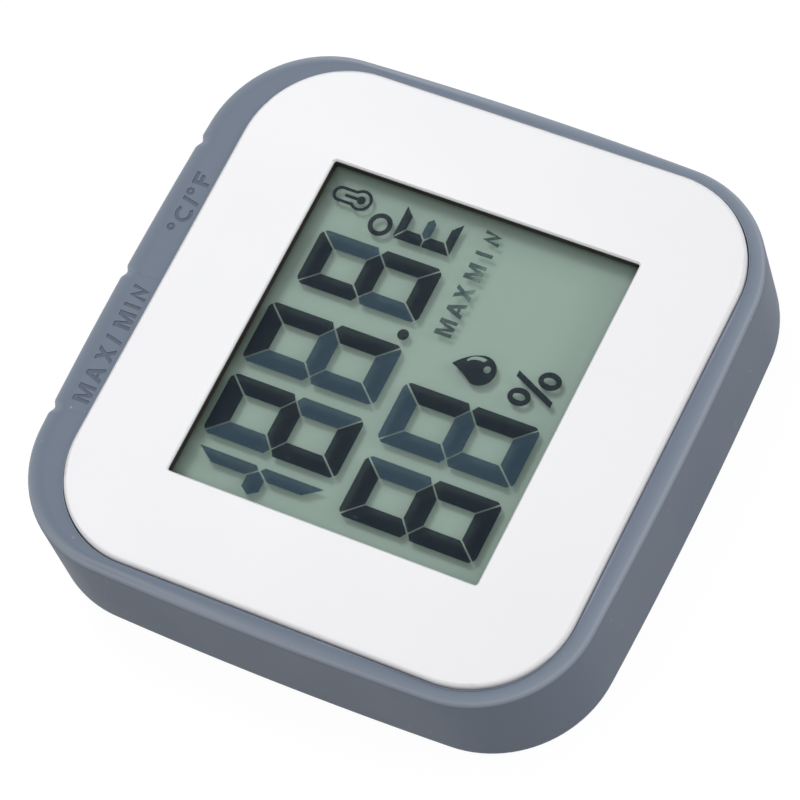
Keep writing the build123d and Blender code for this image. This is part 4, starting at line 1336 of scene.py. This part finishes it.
@dataclass
class Fasteners:
    """Cross-head screws, repeated at the corners of each set by a geometry tree."""

    palette: Palette
    sets: tuple[ScrewSet, ...] = (
        ScrewSet("case_screw_set", "case_screws", 1.45, 0.9, 0.8, 0.42, 0.45),
        ScrewSet("board_screw_set", "board_screws", 1.3, 0.7, 0.6, 0.36, 0.35),
    )
    inputs: tuple[str, ...] = ("Spread X", "Spread Y", "Head Radius", "Head Height", "Shank Radius",
                               "Length", "Slot Width", "Slot Depth")
    head_sides: int = 40
    shank_sides: int = 24
    dome_share: float = 0.4
    dome_narrow: float = 0.8
    slot_reach: float = 1.15

    def build_tree(self) -> bpy.types.NodeTree:
        """Builds the tree: one screw, its head down at height zero, at four corners."""
        tree = bpy.data.node_groups.new("screw_corners", "GeometryNodeTree")
        tree.is_modifier = True
        tree.interface.new_socket("Geometry", in_out="INPUT", socket_type="NodeSocketGeometry")
        for name in self.inputs:
            tree.interface.new_socket(name, in_out="INPUT", socket_type=FLOAT)
        tree.interface.new_socket("Material", in_out="INPUT", socket_type="NodeSocketMaterial")
        tree.interface.new_socket("Geometry", in_out="OUTPUT", socket_type="NodeSocketGeometry")
        graph = Graph(tree)
        size = graph.add("NodeGroupInput").outputs
        rim_height = graph.sum("MULTIPLY", size["Head Height"], 1 - self.dome_share)
        dome_height = graph.sum("MULTIPLY", size["Head Height"], self.dome_share)
        rim = self.cylinder(graph, self.head_sides, size["Head Radius"], rim_height, dome_height)
        dome = graph.add("GeometryNodeMeshCone", {
            "Vertices": self.head_sides, "Radius Top": size["Head Radius"], "Depth": dome_height,
            "Radius Bottom": graph.sum("MULTIPLY", size["Head Radius"], self.dome_narrow)}).outputs[0]
        shank = self.cylinder(graph, self.shank_sides, size["Shank Radius"], size["Length"],
                              size["Head Height"])
        bars = []
        for order in ((0, 1), (1, 0)):
            sizes = (graph.sum("MULTIPLY", size["Head Radius"], self.slot_reach), size["Slot Width"])
            deep = graph.sum("MULTIPLY", size["Slot Depth"], 2.0)
            box = graph.add("ShaderNodeCombineXYZ", {order[0]: sizes[0], order[1]: sizes[1], 2: deep})
            bars.append(graph.add("GeometryNodeMeshCube", {"Size": box.outputs[0]}).outputs[0])
        body = self.boolean(graph, "UNION", [self.boolean(graph, "UNION", [rim, dome]), shank])
        screw = self.boolean(graph, "DIFFERENCE", [body, self.boolean(graph, "UNION", bars)])
        grid = graph.add("GeometryNodeMeshGrid", {"Size X": size["Spread X"], "Size Y": size["Spread Y"],
                                                  "Vertices X": 2, "Vertices Y": 2}).outputs[0]
        placed = graph.add("GeometryNodeInstanceOnPoints", {"Points": grid, "Instance": screw})
        real = graph.add("GeometryNodeRealizeInstances", {0: placed.outputs[0]}).outputs[0]
        dressed = graph.add("GeometryNodeSetMaterial", {0: real, "Material": size["Material"]})
        graph.add("NodeGroupOutput", {0: dressed.outputs[0]})
        return tree

    def cylinder(self, graph: Graph, sides: int, radius: bpy.types.NodeSocket,
                 length: bpy.types.NodeSocket, foot: bpy.types.NodeSocket) -> bpy.types.NodeSocket:
        """Returns an upright cylinder that stands at a height."""
        shape = graph.add("GeometryNodeMeshCylinder",
                          {"Vertices": sides, "Radius": radius, "Depth": length})
        height = graph.sum("ADD", foot, graph.sum("MULTIPLY", length, 0.5))
        shift = graph.add("ShaderNodeCombineXYZ", {2: height}).outputs[0]
        return graph.add("GeometryNodeTransform", {0: shape.outputs[0], "Translation": shift}).outputs[0]

    def boolean(self, graph: Graph, operation: str,
                shapes: Sequence[bpy.types.NodeSocket]) -> bpy.types.NodeSocket:
        """Returns the union of shapes, or the first less the second."""
        node = graph.add("GeometryNodeMeshBoolean", operation=operation, solver="EXACT")
        for number, shape in enumerate(shapes):
            cut = operation == "DIFFERENCE" and number == 0
            graph.tree.links.new(shape, node.inputs[0 if cut else 1])
        return node.outputs[0]

    def build(self) -> None:
        """Builds each set where the frame has it."""
        tree = self.build_tree()
        sockets = {item.name: item.identifier for item in tree.interface.items_tree
                   if item.item_type == "SOCKET" and item.in_out == "INPUT"}
        for sizes in self.sets:
            low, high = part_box(sizes.node)
            head = sizes.head_radius * MM
            values = {
                "Spread X": high.x - low.x - 2 * head, "Spread Y": high.y - low.y - 2 * head,
                "Head Radius": head, "Head Height": sizes.head_height * MM,
                "Shank Radius": sizes.shank_radius * MM,
                "Length": high.z - low.z - sizes.head_height * MM,
                "Slot Width": sizes.slot_width * MM, "Slot Depth": sizes.slot_depth * MM,
                "Material": self.palette.get("plated_steel"),
            }
            holder = bpy.data.objects.new("screws", bpy.data.meshes.new("screws"))
            bpy.context.scene.collection.objects.link(holder)
            modifier = holder.modifiers.new("corners", "NODES")
            modifier.node_group = tree
            for name, value in values.items():
                modifier[sockets[name]] = value
            mesh = baked(holder)
            mesh.transform(Matrix.Translation(((low.x + high.x) / 2, (low.y + high.y) / 2, low.z)))
            piece = link(sizes.name, mesh, [self.palette.get("plated_steel")])
            settle(piece, "housing", "plated_steel", sizes.node)


@dataclass
class DressedParts:
    """Parts that keep the frame's shapes and take a finish each."""

    palette: Palette
    finishes: ClassVar[dict[str, str]] = {}

    def build(self) -> None:
        """Dresses each part."""
        for node, finish in self.finishes.items():
            self.palette.dress(node, finish)
            LOG.info("%s: %s", node, finish)


class Housing(DressedParts):
    """White front panel, rear case, door and stand."""

    finishes = {"front_panel": "white_abs", "rear_case": "rear_abs", "battery_door": "rear_abs",
                "stand": "rear_abs"}


class DisplayMount(DressedParts):
    """Foam, backing, frame and contact strip of the display."""

    finishes = {"lcd_gasket": "black_foam", "lcd_reflector": "display_reflector",
                "lcd_frame": "white_inner_plastic", "zebra_strip": "zebra_rubber"}


class Electronics(DressedParts):
    """Board, sensors, switches, magnets and cell."""

    finishes = {
        "circuit_board": "green_board", "chip_blob": "black_epoxy", "watch_crystal": "plated_steel",
        "capacitors": "ceramic_chip", "resistors": "black_epoxy", "humidity_sensor": "sensor_plastic",
        "thermistor": "black_epoxy", "max_min_switch": "switch_plastic", "unit_switch": "switch_plastic",
        "max_min_plunger": "plunger_plastic", "unit_plunger": "plunger_plastic",
        "magnets": "magnet_plating", "coin_cell": "cell_steel", "negative_contact": "spring_steel",
        "positive_contact": "spring_steel",
    }


@dataclass(frozen=True)
class SoftBox:
    """One square soft box: where it hangs, how large it is, and the level it lends to a flat face."""

    name: str
    direction: Point
    distance: float
    size: float
    level: float


@dataclass
class Studio:
    """Pale floor, plain soft light and the portrait camera.

    Angles are in degrees, distances in millimetres and light levels in shares of a plain white.
    """

    azimuth: float = -42.827
    elevation: float = 60.634
    roll: float = -23.369
    distance: float = 422.49
    aim: Point = (-3.366, -2.551, 13.5)
    focal_length: float = 200.06
    sensor_width: float = 36.0
    clip_range: Place = (0.01, 20.0)
    floor_half: float = 1500.0
    sky_level: float = 0.24
    lamps: tuple[SoftBox, ...] = (
        SoftBox("key_box", (0.42, 0.5, 1.0), 1200.0, 420.0, 0.26),
        SoftBox("low_box", (0.85, 0.62, 0.42), 1200.0, 680.0, 0.03),
        SoftBox("top_box", (-0.08, 0.12, 1.0), 1200.0, 720.0, 0.065),
        SoftBox("fill_box", (0.33, -0.82, 0.42), 1200.0, 480.0, 0.1),
        SoftBox("left_box", (-0.8, 0.36, 0.42), 1200.0, 480.0, 0.025),
        SoftBox("near_box", (-0.36, -0.4, 0.85), 1200.0, 480.0, 0.175),
    )
    floor_colour: str = "8c8c8c"
    floor_glow: float = 0.94
    floor_share: str = "5a5a5a"

    def build_camera(self) -> None:
        """Places the camera at the photograph's angle, distance and lens."""
        a, e = math.radians(self.azimuth), math.radians(self.elevation)
        back = Vector((math.sin(a) * math.cos(e), -math.cos(a) * math.cos(e), math.sin(e)))
        level_right = Vector((math.cos(a), math.sin(a), 0.0))
        right = Matrix.Rotation(math.radians(self.roll), 3, back) @ level_right
        turn = Matrix((right, back.cross(right), back)).transposed().to_4x4()
        data = bpy.data.cameras.new("portrait")
        data.lens = self.focal_length
        data.sensor_width = self.sensor_width
        data.clip_start, data.clip_end = self.clip_range
        camera = bpy.data.objects.new("portrait", data)
        place = (Vector(self.aim) + back * self.distance) * MM
        camera.matrix_world = Matrix.Translation(place) @ turn
        bpy.context.scene.collection.objects.link(camera)
        bpy.context.scene.camera = camera

    def seen_directly(self, graph: Graph) -> bpy.types.NodeSocket:
        """Returns 1 for rays that show the surroundings to the eye, in glass and in gloss, else 0."""
        path = graph.add("ShaderNodeLightPath").outputs
        mirrored = graph.sum("MAXIMUM", path["Is Glossy Ray"], path["Is Transmission Ray"])
        return graph.sum("MAXIMUM", path["Is Camera Ray"], mirrored)

    def build_floor(self) -> None:
        """Lays a wide pale floor that looks white and keeps the object's soft shadow."""
        draft = Draft()
        half = self.floor_half
        draft.faces.append(draft.row(rectangle((-half, -half), (half, half), 0.0)))
        material = bpy.data.materials.new("pale_floor")
        material.use_nodes = True
        graph = Graph(material.node_tree)
        graph.tree.nodes.remove(graph.tree.nodes["Principled BSDF"])
        paper, veil = (graph.add("ShaderNodeBsdfDiffuse", {"Color": linear(colour)}).outputs[0]
                       for colour in (self.floor_colour, self.floor_share))
        glow = graph.add("ShaderNodeEmission", {"Color": WHITE, "Strength": self.floor_glow}).outputs[0]
        bright = graph.add("ShaderNodeAddShader", {0: veil, 1: glow}).outputs[0]
        final = graph.add("ShaderNodeMixShader", {0: self.seen_directly(graph), 1: paper, 2: bright})
        graph.hand_over(graph.tree.nodes["Material Output"], {"Surface": final.outputs[0]})
        draft.build("floor", [material])

    def build_sky(self) -> None:
        """Fills the surroundings with even light that looks white where it is seen."""
        world = bpy.data.worlds.new("studio")
        bpy.context.scene.world = world
        world.use_nodes = True
        graph = Graph(world.node_tree)
        level = graph.spread(self.seen_directly(graph), 0.0, 1.0, self.sky_level, 1.0)
        background = graph.tree.nodes["Background"]
        graph.hand_over(background, {"Strength": level})
        background.inputs["Color"].default_value = WHITE

    def build_lamps(self) -> None:
        """Hangs the soft boxes, each at the level that it lends to a face that lies flat."""
        for box in self.lamps:
            direction = Vector(box.direction).normalized()
            distance = box.distance * MM
            lamp = bpy.data.lights.new(box.name, "AREA")
            lamp.size = box.size * MM
            lamp.energy = box.level * (math.pi * distance) ** 2 / direction.z
            light = bpy.data.objects.new(box.name, lamp)
            light.matrix_world = (Matrix.Translation(direction * distance)
                                  @ direction.to_track_quat("Z", "Y").to_matrix().to_4x4())
            bpy.context.scene.collection.objects.link(light)

    def build(self) -> None:
        """Sets up the whole studio."""
        self.build_camera()
        self.build_floor()
        self.build_sky()
        self.build_lamps()
        bpy.context.scene.view_settings.view_transform = "Standard"


def main() -> None:
    """Builds and dresses every part in order, then the studio."""
    logging.basicConfig(level=logging.INFO, format="%(name)s: %(message)s")
    palette = Palette()
    for part in (Sleeve, Housing, Display, DisplayMount, Fasteners, Electronics):
        part(palette).build()
    Studio().build()


if __name__ == "__main__":
    main()
